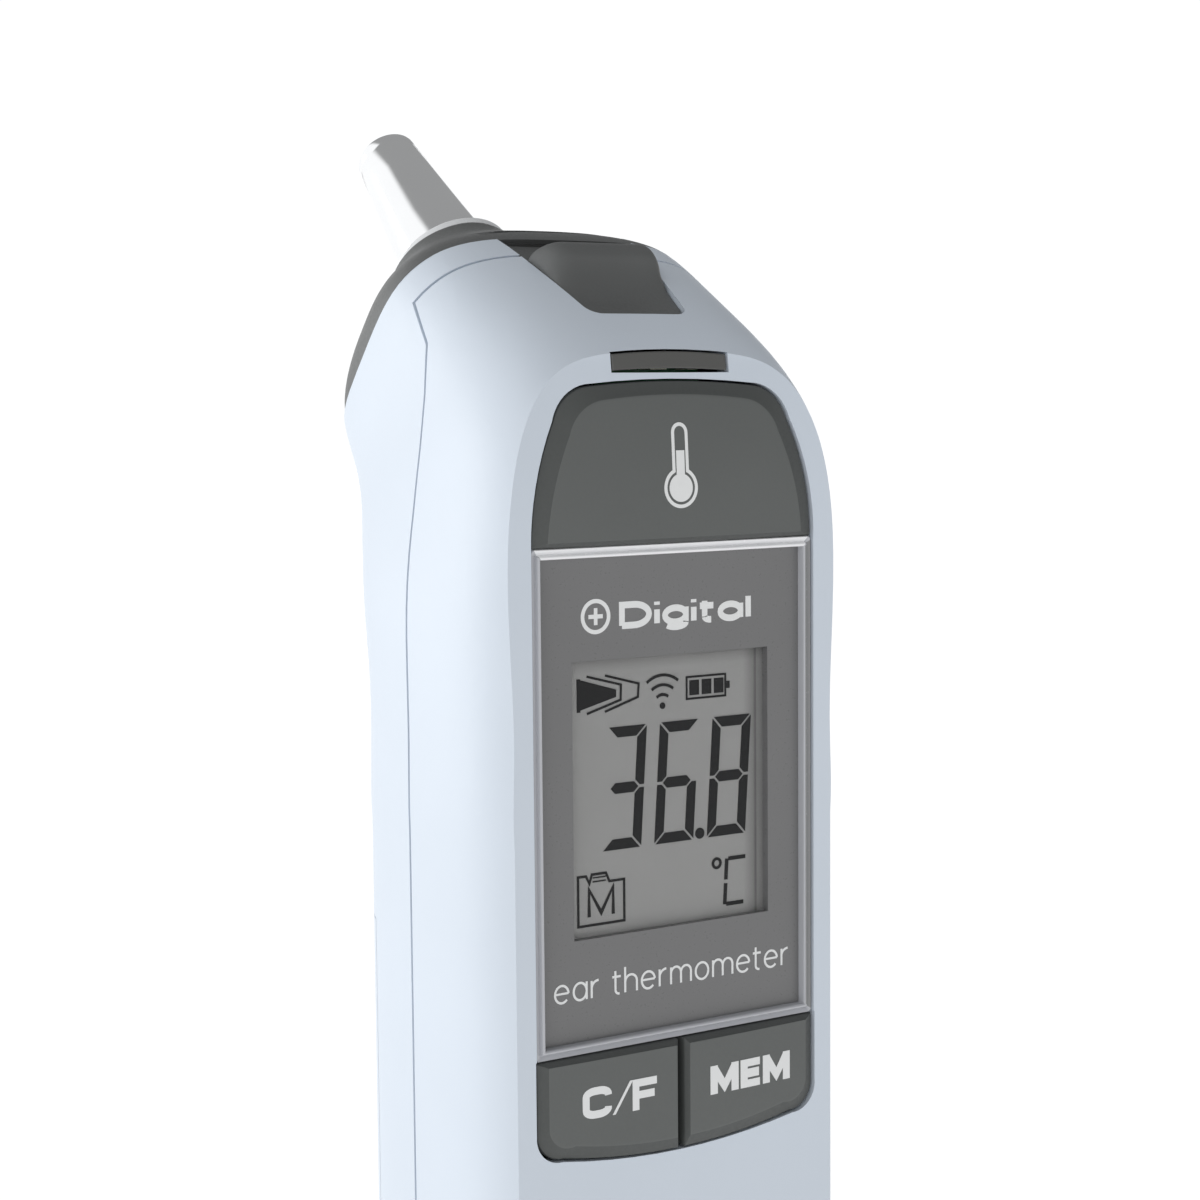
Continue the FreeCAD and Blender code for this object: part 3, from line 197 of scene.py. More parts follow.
finishes = {
    "housing": moulded("satinShell", (0.62, 0.68, 0.755), rough=0.42, drift=0.012, grainScale=3500,
                       grain=0.12),
    "bezel": moulded("glossRim", (0.47, 0.48, 0.51), rough=0.2, drift=0.02, grain=0.05, coat=0.4),
    "lens_dark": moulded("smokedLens", (0.098, 0.098, 0.094), rough=0.22, drift=0.05, grain=0.06),
    "key": moulded("softKey", (0.108, 0.115, 0.112), rough=0.5, drift=0.04, grainScale=3000, grain=0.35),
    "head": moulded("fineMatteCap", (0.108, 0.112, 0.111), rough=0.5, drift=0.05, grainScale=3200, grain=0.4),
    "sleeve": moulded("whiteGloss", (0.78, 0.79, 0.80), rough=0.25, drift=0.01, grain=0.08),
    "steel": moulded("plainSteel", (0.52, 0.53, 0.55), rough=0.3, drift=0.06, metal=1, grainScale=1500,
                     grain=0.2),
    "chrome": moulded("polishedTube", (0.94, 0.945, 0.95), rough=0.12, drift=0.015, metal=1, grainScale=900,
                      grain=0.04),
    "inner_plastic": moulded("innerMoulding", (0.6, 0.61, 0.62), rough=0.55, drift=0.03, grain=0.4),
    "flex": moulded("amberFilm", (0.55, 0.25, 0.05), rough=0.3, drift=0.1, driftScale=300, grain=0.1,
                    coat=0.5),
    "panel": moulded("printedPanel", (0.165, 0.165, 0.167), rough=0.3, drift=0.02, grainScale=4000,
                     grain=0.03),
    "clear": moulded("clearPane", (0.3, 0.31, 0.31), rough=0.06, drift=0.02, grain=0.02, alpha=0.025,
                      specular=0.3),
    "lcd": displayWithPaintedShade("greyDisplay", (0.315, 0.315, 0.311), paintedDisplayShade),
    "guide": moulded("diffuserSheet", (0.85, 0.86, 0.87), rough=0.35, drift=0.01, grain=0.15),
    "rubber": moulded("softRubber", (0.03, 0.03, 0.03), rough=0.75, drift=0.1, grain=0.6, specular=0.3),
    "board": moulded("solderMask", (0.02, 0.16, 0.055), rough=0.35, drift=0.25, driftScale=500, grain=0.3),
    "chip": moulded("chipMoulding", (0.03, 0.03, 0.032), rough=0.6, drift=0.15, driftScale=900, grain=0.6),
    "can": moulded("canSteel", (0.55, 0.55, 0.53), rough=0.28, drift=0.05, metal=1, grain=0.25),
    "silicone": moulded("paleSilicone", (0.62, 0.62, 0.6), rough=0.6, drift=0.03, grain=0.4),
    "led": moulded("epoxyLens", (0.8, 0.83, 0.66), rough=0.12, drift=0.02, grain=0.05, coat=0.5),
    "cell": moulded("cellWrap", (0.03, 0.05, 0.07), rough=0.3, drift=0.3, driftScale=90, grain=0.15,
                    coat=0.3),
    "contact": moulded("platedContact", (0.62, 0.56, 0.4), rough=0.3, drift=0.08, metal=1, grain=0.2),
    "window": moulded("infraredPane", (0.07, 0.075, 0.085), rough=0.1, drift=0.05, grain=0.03, coat=0.6),
    "brass": moulded("goldPlate", (0.72, 0.53, 0.22), rough=0.2, drift=0.05, metal=1, grain=0.1),
    # key border finish: the key's colour darkened as painted shade
    "paintedKeyShade": moulded("paintedShadeKeyBorder", (0.068, 0.073, 0.071), rough=0.55, drift=0.05, grain=0.35),
    "ink": moulded("whitePrint", (0.78, 0.79, 0.79), rough=0.45, drift=0.01, grain=0.1),
    "segment": moulded("darkSegment", (0.009, 0.009, 0.01), rough=0.5, drift=0.05, grain=0.05, specular=0.2),
    # lit and shaded copies of the rim finish: a painted highlight for the top edge, painted shade for the
    # right edge
    "rimPaintedHighlight": moulded("paintedRimHighlight", (0.88, 0.885, 0.9), rough=0.25, drift=0.02, grain=0.05, coat=0.3),
    "rimPaintedShade": moulded("paintedRimShade", (0.24, 0.245, 0.25), rough=0.25, drift=0.02, grain=0.05, coat=0.3),
}
for row in frame["record"]["subparts"]:
    mesh = frame["nodes"][row["node"]].data
    mesh.materials.clear()
    mesh.materials.append(finishes[row["material_slot"]])
print("finishes made:", len(finishes))


# housing, battery door and head: the part's own surfaces, merged and edge-softened

shellLook = {"smooth": 32}
copies = (
    ("front_cover", "frontShell", "housing", "housing"),
    ("rear_cover", "rearShell", "housing", "housing"),
    ("battery_cover", "batteryDoor", "housing", "battery_door"),
    ("head_cap", "darkCap", "head", "housing"),
    ("ejector_sleeve", "whiteSleeve", "sleeve", "sleeve"),
    ("display_panel", "displayPanel", "panel", "housing"),
)
for node, name, slot, body in copies:
    piece = mergedCopy(node, name, finishes[slot], smooth=shellLook["smooth"])
    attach(piece, body)
    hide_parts(node)
print("shells and caps:", len(copies))


# outlines of the keys, in the plane of the front

facet = {"y": -16.0, "bendFrom": 119.0, "bendReach": 15.5, "setBack": 1.1}


def facetAt(z):
    rise = max(0.0, z - facet["bendFrom"]) / facet["bendReach"]
    return facet["y"] + facet["setBack"] * rise * rise


def arcThrough(a, b, c, count):
    (ax, ay), (bx, by), (cx, cy) = a, b, c
    d = 2 * (ax * (by - cy) + bx * (cy - ay) + cx * (ay - by))
    ux = ((ax**2 + ay**2) * (by - cy) + (bx**2 + by**2) * (cy - ay) + (cx**2 + cy**2) * (ay - by)) / d
    uy = ((ax**2 + ay**2) * (cx - bx) + (bx**2 + by**2) * (ax - cx) + (cx**2 + cy**2) * (bx - ax)) / d
    radius = math.hypot(ax - ux, ay - uy)
    first = math.atan2(ay - uy, ax - ux)
    middle = math.atan2(by - uy, bx - ux)
    last = math.atan2(cy - uy, cx - ux)
    full = 2 * math.pi
    if (middle - first) % full < (last - first) % full:
        sweep = (last - first) % full
    else:
        sweep = -((first - last) % full)
    return [(ux + radius * math.cos(first + sweep * i / count),
             uy + radius * math.sin(first + sweep * i / count))
            for i in range(count)]


def lineTo(a, b, count):
    return [(a[0] + (b[0] - a[0]) * i / count, a[1] + (b[1] - a[1]) * i / count) for i in range(count)]


measureLook = {"half": 17.12, "foot": 116.45, "top": 132.65, "crown": 0.55, "edge": 0.15,
               "side": 1.55, "above": 1.35, "below": 0.5, "drop": 0.42, "step": 0.22}
lowerLook = {"half": 17.22, "top": 65.5, "foot": 54.1, "split": 0.35, "corner": 4.4, "crown": 0.55,
             "edge": 0.15,
             "side": 1.15, "above": 0.5, "below": 1.25, "inner": 0.45, "drop": 0.42, "step": 0.22}


def measureOutline(side, above, below):
    look = measureLook
    half, foot, top = look["half"] - side, look["foot"] + below, look["top"] - above
    right = [(half, foot), (half - 0.75, top - 9.6), (half - 2.8, top - 3.9), (half - 4.3, top - 1.6),
             (half - 6.9, top - 0.5)]
    left = [(-x, z) for x, z in right]
    ring = lineTo(left[0], right[0], 24)
    ring += arcThrough(right[0], right[1], right[2], 22) + arcThrough(right[2], right[3], right[4], 12)
    ring += arcThrough(right[4], (0, top), left[4], 30)
    ring += arcThrough(left[4], left[3], left[2], 12) + arcThrough(left[2], left[1], left[0], 22)
    return ring


def lowerOutline(side, above, below, inner):
    look = lowerLook
    half, top, foot = look["half"] - side, look["top"] - above, look["foot"] + below
    near = look["split"] + inner
    corner = look["foot"] + look["corner"]
    arch = look["foot"] + 1.3 + below
    farSag = 1.3 * (near / (half - 3)) ** 2
    ring = lineTo((near, top), (half, top), 16) + lineTo((half, top), (half, corner), 10)
    ring += arcThrough((half, corner), (half - 0.85, corner - 2.3 + below * 0.7), (half - 3.0, arch), 14)
    ring += arcThrough((half - 3.0, arch), (half * 0.5, foot + 1.3 * 0.36), (near, foot + farSag), 18)
    ring += lineTo((near, foot + farSag), (near, top), 12)
    return ring


def crownAt(look, x, z):
    bulge = look["crown"] - look["edge"]
    return facetAt(z) - look["edge"] - bulge * (1 - min(1.0, (x / look["half"]) ** 2))


# rings from the back edge over the sloping border to the crowned field, then in to the middle; the border
# faces carry a darker finish as painted shade
def keyPiece(name, look, rings, back, mirror=1):
    points, faces, slots = [], [], []
    count = len(rings[0][0])
    for ring, drop in rings:
        for x, z in ring:
            y = back if drop is None else crownAt(look, x, z) + drop
            points.append((mirror * x * mm, y * mm, z * mm))
    inner = rings[-1][0]
    midX = sum(p[0] for p in inner) / count
    midZ = sum(p[1] for p in inner) / count
    shares = (0.75, 0.5, 0.25)
    for share in shares:
        for x, z in inner:
            px, pz = midX + (x - midX) * share, midZ + (z - midZ) * share
            points.append((mirror * px * mm, crownAt(look, px, pz) * mm, pz * mm))
    points.append((mirror * midX * mm, crownAt(look, midX, midZ) * mm, midZ * mm))
    total = len(rings) + len(shares)
    for row in range(total - 1):
        for i in range(count):
            j = (i + 1) % count
            faces.append((row * count + i, row * count + j, (row + 1) * count + j, (row + 1) * count + i))
            # slot 1 is the border finish, darkened as painted shade
            slots.append(1 if row < len(rings) - 2 else 0)
    last = (total - 1) * count
    for i in range(count):
        faces.append((last + i, last + (i + 1) % count, len(points) - 1))
        slots.append(0)
    faces.append(tuple(range(count)))
    slots.append(1)
    piece = newPiece(name, points, faces, [finishes["key"], finishes["paintedKeyShade"]], slots, smooth=40)
    return turnOutwards(piece)


def borderRings(outline, look, *insets):
    drop = look["drop"]
    shrink = lambda share, extra=0.0: outline(*[i * share + extra for i in insets])
    return [(shrink(0), None), (shrink(0), drop + 0.25), (shrink(0, 0.08), drop + 0.06),
            (shrink(0.12, 0.08), drop),
            (shrink(0.85), 0.1), (shrink(0.94), 0.03), (shrink(1.0), 0.0), (shrink(1.0, 0.25), 0.0)]


keyBack = facet["y"] + 2.0
measureRings = borderRings(measureOutline, measureLook, measureLook["side"], measureLook["above"],
                           measureLook["below"])
measureKey = keyPiece("measureKey", measureLook, measureRings, keyBack)
lowerRings = borderRings(lowerOutline, lowerLook, lowerLook["side"], lowerLook["above"], lowerLook["below"],
                         lowerLook["inner"])
unitKey = keyPiece("unitKey", lowerLook, lowerRings, keyBack, mirror=-1)
memoryKey = keyPiece("memoryKey", lowerLook, lowerRings, keyBack)
for piece, body, node in ((measureKey, "measure_key", "measure_button"), (unitKey, "unit_key", "unit_button"),
                          (memoryKey, "memory_key", "memory_button")):
    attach(piece, body)
    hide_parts(node)
print("keys made")


# rim round the display: a rounded lip beside the panel, a groove, and an outer slope; its top straight edge
# carries a painted highlight and its right straight edge painted shade

rimLook = {"half": 17.24, "low": 65.6, "high": 116.4, "corner": 0.35, "shadeRows": 8, "cornerPoints": 6}
rimProfile = ((0.0, -14.0), (0.0, -15.55), (0.1, -15.72), (0.35, -15.62), (0.55, -15.5), (0.62, -15.6),
              (0.68, -15.84), (0.8, -15.95), (0.94, -15.93), (1.04, -15.8), (1.08, -15.6), (1.08, -14.0))


def rimPiece(name, look, profile):
    points, faces, slots = [], [], []
    corners = look["cornerPoints"]
    for inset, y in profile:
        half, low, high = look["half"] - inset, look["low"] + inset, look["high"] - inset
        r = max(0.03, look["corner"] - inset * 0.3)
        for cx, cz, first in ((half - r, high - r, 0), (r - half, high - r, 90), (r - half, low + r, 180),
                              (half - r, low + r, 270)):
            for i in range(corners):
                t = math.radians(first + 90 * i / (corners - 1))
                points.append(((cx + r * math.cos(t)) * mm, y * mm, (cz + r * math.sin(t)) * mm))
    count = 4 * corners
    for row in range(len(profile)):
        following = (row + 1) % len(profile)
        for i in range(count):
            j = (i + 1) % count
            faces.append((row * count + i, row * count + j, following * count + j, following * count + i))
            # slot 1 on the top straight edge is a painted highlight; slot 2 on the right straight edge, first
            # rows of the profile only, is painted shade
            slots.append(1 if i == corners - 1 else 2 if i == count - 1 and row < look["shadeRows"] else 0)
    rimFinishesWithPaintedLight = [finishes["bezel"], finishes["rimPaintedHighlight"], finishes["rimPaintedShade"]]
    return turnOutwards(newPiece(name, points, faces, rimFinishesWithPaintedLight, slots, smooth=50))


rim = rimPiece("displayRim", rimLook, rimProfile)
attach(rim, "housing")
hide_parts("display_bezel")


# indicator lens: a slim arched bar with a fine gap round it

lensLook = {"half": 6.98, "low": 133.68, "high": 135.3, "arch": 0.3, "edge": 0.12, "sunk": 0.06}


def lensPiece(name, look):
    points, faces = [], []
    columns = 24
    rows = ((0, 1.6), (0, 0.1), (look["edge"], 0.0))
    for inset, depth in rows:
        ring = []
        for i in range(columns + 1):
            x = (look["half"] - inset) * (2 * i / columns - 1)
            rise = look["arch"] * (1 - (x / look["half"]) ** 2)
            ring.append((x, look["low"] + inset + rise * 0.75))
        for i in reversed(range(columns + 1)):
            x = (look["half"] - inset) * (2 * i / columns - 1)
            rise = look["arch"] * (1 - (x / look["half"]) ** 2)
            ring.append((x, look["high"] - inset + rise))
        points += [(x * mm, (facetAt(z) + look["sunk"] + depth) * mm, z * mm) for x, z in ring]
    count = 2 * (columns + 1)
    for row in range(len(rows) - 1):
        for i in range(count):
            j = (i + 1) % count
            faces.append((row * count + i, row * count + j, (row + 1) * count + j, (row + 1) * count + i))
    top = (len(rows) - 1) * count
    for i in range(columns):
        faces.append((top + i, top + i + 1, top + count - 2 - i, top + count - 1 - i))
        faces.append((i, i + 1, count - 2 - i, count - 1 - i))
    return turnOutwards(newPiece(name, points, faces, [finishes["lens_dark"]], smooth=35))


lens = lensPiece("indicatorLens", lensLook)
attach(lens, "housing")
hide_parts("indicator_bar")
print("rim and lens made")


# head frames: probe axis and the ejector's slope

probeTilt, slopeTilt = math.radians(48), math.radians(31)
probeFrame = Matrix.Translation(Vector((0, 16.26, 134.59)) * mm) @ Matrix.Rotation(-probeTilt, 4, "X")
slopeFrame = Matrix.Translation(Vector((0, -9.47, 139.09)) * mm) @ Matrix.Rotation(slopeTilt, 4, "X")

thumbLook = {"half": 5.98, "spread": 0.149, "gap": 0.12, "corner": 1.8, "plain": 0.6, "power": 2.3,
             "columns": 40, "thick": 0.95}
thumbCurve = [(0.12, 0.0), (1.0, 0.0), (1.9, 0.0)] + arcThrough((1.9, 0.0), (5.7, 0.75), (8.0, 2.75), 16)[1:]
thumbCurve += arcThrough((8.0, 2.75), (9.6, 3.3), (11.2, 2.3), 14) + [(11.2, 2.3), (11.25, 1.4), (11.3, 0.6)]
thumbCurve += [(11.35, 0.15), (11.6, 0.0), (11.65, -0.45), (13.8, -0.45), (15.9, -0.45)]


def thumbHalf(look, y):
    half = look["half"] + look["spread"] * y - look["gap"]
    inset = max(0.0, look["corner"] - (y - look["gap"]))
    return half - (look["corner"] - math.sqrt(max(0.0, look["corner"] ** 2 - inset ** 2)))


def thumbPiece(name, look, curve):
    points, faces = [], []
    columns = look["columns"]
    for y, z in curve:
        half = thumbHalf(look, y)
        for i in range(columns + 1):
            u = -math.cos(math.pi * i / columns)
            past = max(0.0, (abs(u) - look["plain"]) / (1 - look["plain"]))
            height = z * (1 - past ** look["power"]) ** (1 / look["power"]) if z > 0 else z
            points.append(slopeFrame @ (Vector((half * u, y, height)) * mm))
    rows, width = len(curve), columns + 1
    base = len(points)
    for y, z in curve:
        for i in range(width):
            u = -math.cos(math.pi * i / columns)
            points.append(slopeFrame @ (Vector((thumbHalf(look, y) * u, y, -look["thick"])) * mm))
    for row in range(rows - 1):
        for i in range(columns):
            a = row * width + i
            faces.append((a, a + 1, a + width + 1, a + width))
            faces.append((base + a, base + a + width, base + a + width + 1, base + a + 1))
        for a in (row * width, row * width + columns):
            faces.append((a, a + width, base + a + width, base + a))
    for i in range(columns):
        for a in (i, (rows - 1) * width + i):
            faces.append((a, a + 1, base + a + 1, base + a))
    low, high = (-2.2, 2.1, -8.0), (2.2, 3.9, -0.9)
    base = len(points)
    for x in (low[0], high[0]):
        for y in (low[1], high[1]):
            for z in (low[2], high[2]):
                points.append(slopeFrame @ (Vector((x, y, z)) * mm))
    faces += [tuple(base + i for i in f) for f in ((0, 1, 3, 2), (4, 6, 7, 5), (0, 4, 5, 1), (2, 3, 7, 6),
                                                   (0, 2, 6, 4), (1, 5, 7, 3))]
    return turnOutwards(newPiece(name, points, faces, [finishes["head"]], smooth=50))


thumb = thumbPiece("thumbSlide", thumbLook, thumbCurve)
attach(thumb, "ejector")
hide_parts("ejector_button")

probeLook = {"segments": 128}
probeProfile = ((4.74, -4.4), (8.0, -4.4), (8.0, -3.4), (5.44, -3.4), (5.44, 19.3), (5.05, 23.1), (4.6, 27.5),
                (4.15, 32.0), (3.8, 35.9), (3.72, 36.1), (3.74, 36.3), (3.7, 37.1), (3.62, 37.38),
                (3.48, 37.49),
                (3.3, 37.49), (3.1, 37.4), (2.98, 37.15), (3.0, 36.3), (4.64, 19.3))


def turnedPiece(name, profile, placing, segments, material):
    points, faces = [], []
    for radius, along in profile:
        for i in range(segments):
            t = 2 * math.pi * i / segments
            points.append(placing @ (Vector((radius * math.cos(t), radius * math.sin(t), along)) * mm))
    rows = len(profile)
    for row in range(rows):
        following = (row + 1) % rows
        for i in range(segments):
            j = (i + 1) % segments
            faces.append((row * segments + i, row * segments + j, following * segments + j,
                          following * segments + i))
    return turnOutwards(newPiece(name, points, faces, [material], smooth=32))


probe = turnedPiece("probeTube", probeProfile, probeFrame, probeLook["segments"], finishes["chrome"])
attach(probe, "housing")
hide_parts("probe_cone")
print("thumb slide and probe made")


# rows of rounded bars: grip ridges on the battery door and the chip's legs

barLook = {"stations": 25, "sides": 16, "bluntness": 14.0, "fullness": 1.004}


def barTree(name, look):
    tree = bpy.data.node_groups.new(name, "GeometryNodeTree")
    tree.interface.new_socket("Geometry", in_out="INPUT", socket_type="NodeSocketGeometry")
    for key, value in look.items():
        kind = "NodeSocketInt" if isinstance(value, int) else "NodeSocketFloat"
        tree.interface.new_socket(key, in_out="INPUT", socket_type=kind)
    tree.interface.new_socket("Finish", in_out="INPUT", socket_type="NodeSocketMaterial")
    tree.interface.new_socket("Geometry", in_out="OUTPUT", socket_type="NodeSocketGeometry")
    inlet = tree.nodes.new("NodeGroupInput").outputs

    def sums(kind, first, second):
        node = tree.nodes.new("ShaderNodeMath")
        node.operation = kind
        for socket, value in zip(node.inputs, (first, second)):
            if isinstance(value, (int, float)):
                socket.default_value = value
            else:
                wire(tree, value, socket)
        return node.outputs["Value"]

    def across(share):
        node = tree.nodes.new("ShaderNodeCombineXYZ")
        wire(tree, sums("MULTIPLY", inlet["Length"], share), node.inputs["X"])
        return node.outputs["Vector"]

    line = tree.nodes.new("GeometryNodeCurvePrimitiveLine")
    wire(tree, across(-0.5), line.inputs["Start"])
    wire(tree, across(0.5), line.inputs["End"])
    finer = tree.nodes.new("GeometryNodeResampleCurve")
    finer.inputs["Count"].default_value = barLook["stations"]
    wire(tree, line.outputs["Curve"], finer.inputs["Curve"])
    along = tree.nodes.new("GeometryNodeSplineParameter").outputs["Factor"]
    centred = sums("ABSOLUTE", sums("SUBTRACT", sums("MULTIPLY", along, 2.0), 1.0), 0.0)
    ending = sums("POWER", centred, barLook["bluntness"])
    swell = sums("POWER", sums("SUBTRACT", barLook["fullness"], ending), 0.5)
    radius = tree.nodes.new("GeometryNodeSetCurveRadius")
    wire(tree, finer.outputs["Curve"], radius.inputs["Curve"])
    wire(tree, swell, radius.inputs["Radius"])
    profile = tree.nodes.new("GeometryNodeCurvePrimitiveCircle")
    profile.inputs["Resolution"].default_value = barLook["sides"]
    wire(tree, inlet["Radius"], profile.inputs["Radius"])
    sweep = tree.nodes.new("GeometryNodeCurveToMesh")
    sweep.inputs["Fill Caps"].default_value = True
    wire(tree, radius.outputs["Curve"], sweep.inputs["Curve"])
    if "Scale" in sweep.inputs:
        wire(tree, swell, sweep.inputs["Scale"])
    wire(tree, profile.outputs["Curve"], sweep.inputs["Profile Curve"])
    step = tree.nodes.new("ShaderNodeCombineXYZ")
    wire(tree, inlet["Spacing"], step.inputs["Z"])
    row = tree.nodes.new("GeometryNodeMeshLine")
    wire(tree, inlet["Count"], row.inputs["Count"])
    wire(tree, step.outputs["Vector"], row.inputs["Offset"])
    copies = tree.nodes.new("GeometryNodeInstanceOnPoints")
    wire(tree, row.outputs["Mesh"], copies.inputs["Points"])
    wire(tree, sweep.outputs["Mesh"], copies.inputs["Instance"])
    solid = tree.nodes.new("GeometryNodeRealizeInstances")
    wire(tree, copies.outputs["Instances"], solid.inputs["Geometry"])
    painted = tree.nodes.new("GeometryNodeSetMaterial")
    wire(tree, solid.outputs["Geometry"], painted.inputs["Geometry"])
    wire(tree, inlet["Finish"], painted.inputs["Material"])
    wire(tree, painted.outputs["Geometry"], tree.nodes.new("NodeGroupOutput").inputs["Geometry"])
    return tree


def barRow(name, look, start, finish):
    seed = newPiece(name + "Seed", [(0, 0, 0)], [])
    modifier = seed.modifiers.new("row", "NODES")
    tree = barTree(name + "Row", look)
    modifier.node_group = tree
    for item in tree.interface.items_tree:
        if item.in_out == "INPUT" and item.name in look:
            modifier[item.identifier] = look[item.name]
        if item.name == "Finish":
            modifier[item.identifier] = finish
    graph = bpy.context.evaluated_depsgraph_get()
    mesh = bpy.data.meshes.new_from_object(seed.evaluated_get(graph))
    bpy.data.objects.remove(seed)
    mesh.name = name
    mesh.transform(Matrix.Translation(Vector(start) * mm))
    softenShading(mesh, 40)
    piece = bpy.data.objects.new(name, mesh)
    scene.collection.objects.link(piece)
    return turnOutwards(piece)


gripLook = {"Count": 5, "Spacing": 2.2 * mm, "Length": 12.6 * mm, "Radius": 0.42 * mm}
grip = barRow("gripRidges", gripLook, (0, 15.6, 17.65), finishes["housing"])
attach(grip, "battery_door")
legLook = {"Count": 12, "Spacing": 0.76 * mm, "Length": 1.3 * mm, "Radius": 0.14 * mm}
for name, x in (("chipLegsLeft", -5.2), ("chipLegsRight", 5.2)):
    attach(barRow(name, legLook, (x, -6.62, 88.32), finishes["contact"]), "housing")
print("ridges and legs made")


# prints: thin raised shapes laid on a surface

def ribbon(line, width, closed=False):
    count = len(line)
    first, second = [], []
    for i, (x, z) in enumerate(line):
        before = line[i - 1] if (i or closed) else (x, z)
        after = line[(i + 1) % count] if (i < count - 1 or closed) else (x, z)
        arrive = Vector((x - before[0], z - before[1])).normalized() if before != (x, z) else None
        leave = Vector((after[0] - x, after[1] - z)).normalized() if after != (x, z) else None
        one, two = arrive or leave, leave or arrive
        mitre = (one + two).normalized()
        across = Vector((-mitre.y, mitre.x)) * (width / 2 / max(0.45, mitre.dot(one)))
        first.append((x - across.x, z - across.y))
        second.append((x + across.x, z + across.y))
    return [{"sides": (first, second), "closed": closed}]


def ringLine(x, z, radius, count=40, start=0.0, end=360.0):
    turns = [math.radians(start + (end - start) * i / count) for i in range(count + (end - start != 360))]
    return [(x + radius * math.cos(t), z + radius * math.sin(t)) for t in turns]


printLook = {"step": 0.003, "steps": 7}


def clippedRows(row, limits):
    return [(x, min(max(z, limits[0]), limits[1])) for x, z in row] if limits else row


# a shape is an outline, or a strip given by its two sides; each lies a little higher than the one before
def printPiece(name, shapes, surface, finish, lift=0.03, sink=0.04, limits=None):
    points, faces = [], []
    for place, shape in enumerate(shapes):
        base = len(points)
        high = lift + printLook["step"] * (place % printLook["steps"])
        if isinstance(shape, dict):
            rows = [clippedRows(row, limits) for row in shape["sides"]]
            count = len(rows[0])
            for row in rows:
                points += [(x * mm, (surface(x, z) - high) * mm, z * mm) for x, z in row]
            for row in rows:
                points += [(x * mm, (surface(x, z) + sink) * mm, z * mm) for x, z in row]
            lines = (0, count, 3 * count, 2 * count)
            for i in range(count if shape["closed"] else count - 1):
                j = (i + 1) % count
                for k in range(4):
                    one, two = base + lines[k], base + lines[(k + 1) % 4]
                    faces.append([one + i, one + j, two + j, two + i])
            if not shape["closed"]:
                faces += [[base + line + i for line in lines] for i in (0, count - 1)]
            continue
        count = len(shape)
        points += [(x * mm, (surface(x, z) - high) * mm, z * mm) for x, z in shape]
        points += [(x * mm, (surface(x, z) + sink) * mm, z * mm) for x, z in shape]
        faces.append([base + i for i in range(count)])
        faces.append([base + count + i for i in reversed(range(count))])
        for i in range(count):
            j = (i + 1) % count
            faces.append([base + i, base + count + i, base + count + j, base + j])
    return turnOutwards(newPiece(name, points, faces, [finish], smooth=20))


def bend(x, z, rx, rz, start, end, count=18):
    turns = [math.radians(start + (end - start) * i / count) for i in range(count + 1)]
    return [(x + rx * math.cos(t), z + rz * math.sin(t)) for t in turns]


# centre lines of plain block letters, one unit tall, each with its width
letters = {
    "C": (0.72, [[(0.72, 0.74)] + bend(0.44, 0.78, 0.28, 0.22, 10, 90, 6) + bend(0.28, 0.78, 0.28, 0.22, 90,
                                                                                 180, 6)
                 + bend(0.28, 0.22, 0.28, 0.22, 180, 270, 6) + bend(0.44, 0.22, 0.28, 0.22, 270, 350, 6)
                 + [(0.72, 0.26)]]),
    "F": (0.6, [[(0, -0.5), (0, 1.5)], [(0, 1), (0.7, 1)], [(0, 0.48), (0.62, 0.48)]]),
    "M": (0.86, [[(0, -0.5), (0, 1.5)], [(0.86, -0.5), (0.86, 1.5)],
                 [(0.0, 1.1), (0.43, 0.06), (0.86, 1.1)]]),
    "E": (0.56, [[(0, -0.5), (0, 1.5)], [(0, 1.06), (0.66, 1.06)], [(0, -0.06), (0.66, -0.06)],
                 [(0, 0.5), (0.62, 0.5)]]),
    "/": (0.3, [[(-0.12, -0.3), (0.46, 1.3)]]),
    "D": (0.66, [[(0, 0), (0, 1), (0.3, 1)] + bend(0.3, 0.5, 0.36, 0.5, 80, -80) + [(0.3, 0)],
                 [(0, 0), (0.32, 0)]]),
    "i": (0.0, [[(0, 0), (0, 0.68)], [(0, 0.9), (0, 1.06)]]),
    "g": (0.52, [bend(0.26, 0.35, 0.26, 0.35, 0, 360, 24), [(0.52, 0.72), (0.52, -0.02)]
                 + bend(0.27, -0.02, 0.25, 0.22, 0, -150, 10)]),
    "t": (0.28, [[(0.08, 0.94), (0.08, 0.16)] + bend(0.22, 0.16, 0.14, 0.16, 180, 280, 6),
                 [(-0.04, 0.7), (0.3, 0.7)]]),
    "a": (0.52, [bend(0.26, 0.35, 0.26, 0.35, 0, 360, 24), [(0.52, 0.72), (0.52, 0)]]),
    "l": (0.0, [[(0, 0), (0, 1.04)]]),
    "e": (0.54, [[(0.03, 0.37)] + bend(0.27, 0.35, 0.27, 0.35, 4, 318, 24)]),
    "r": (0.28, [[(0, 0), (0, 0.7)], bend(0.28, 0.38, 0.28, 0.32, 180, 90, 8)]),
    "h": (0.48, [[(0, 0), (0, 1.04)], bend(0.24, 0.42, 0.24, 0.28, 180, 0, 12) + [(0.48, 0)]]),
    "m": (0.84, [[(0, 0), (0, 0.7)], bend(0.21, 0.44, 0.21, 0.26, 180, 0, 12) + [(0.42, 0)],
                 bend(0.63, 0.44, 0.21, 0.26, 180, 0, 12) + [(0.84, 0)]]),
    "o": (0.54, [bend(0.27, 0.35, 0.27, 0.35, 0, 360, 24)]),
    " ": (0.2, []),
}


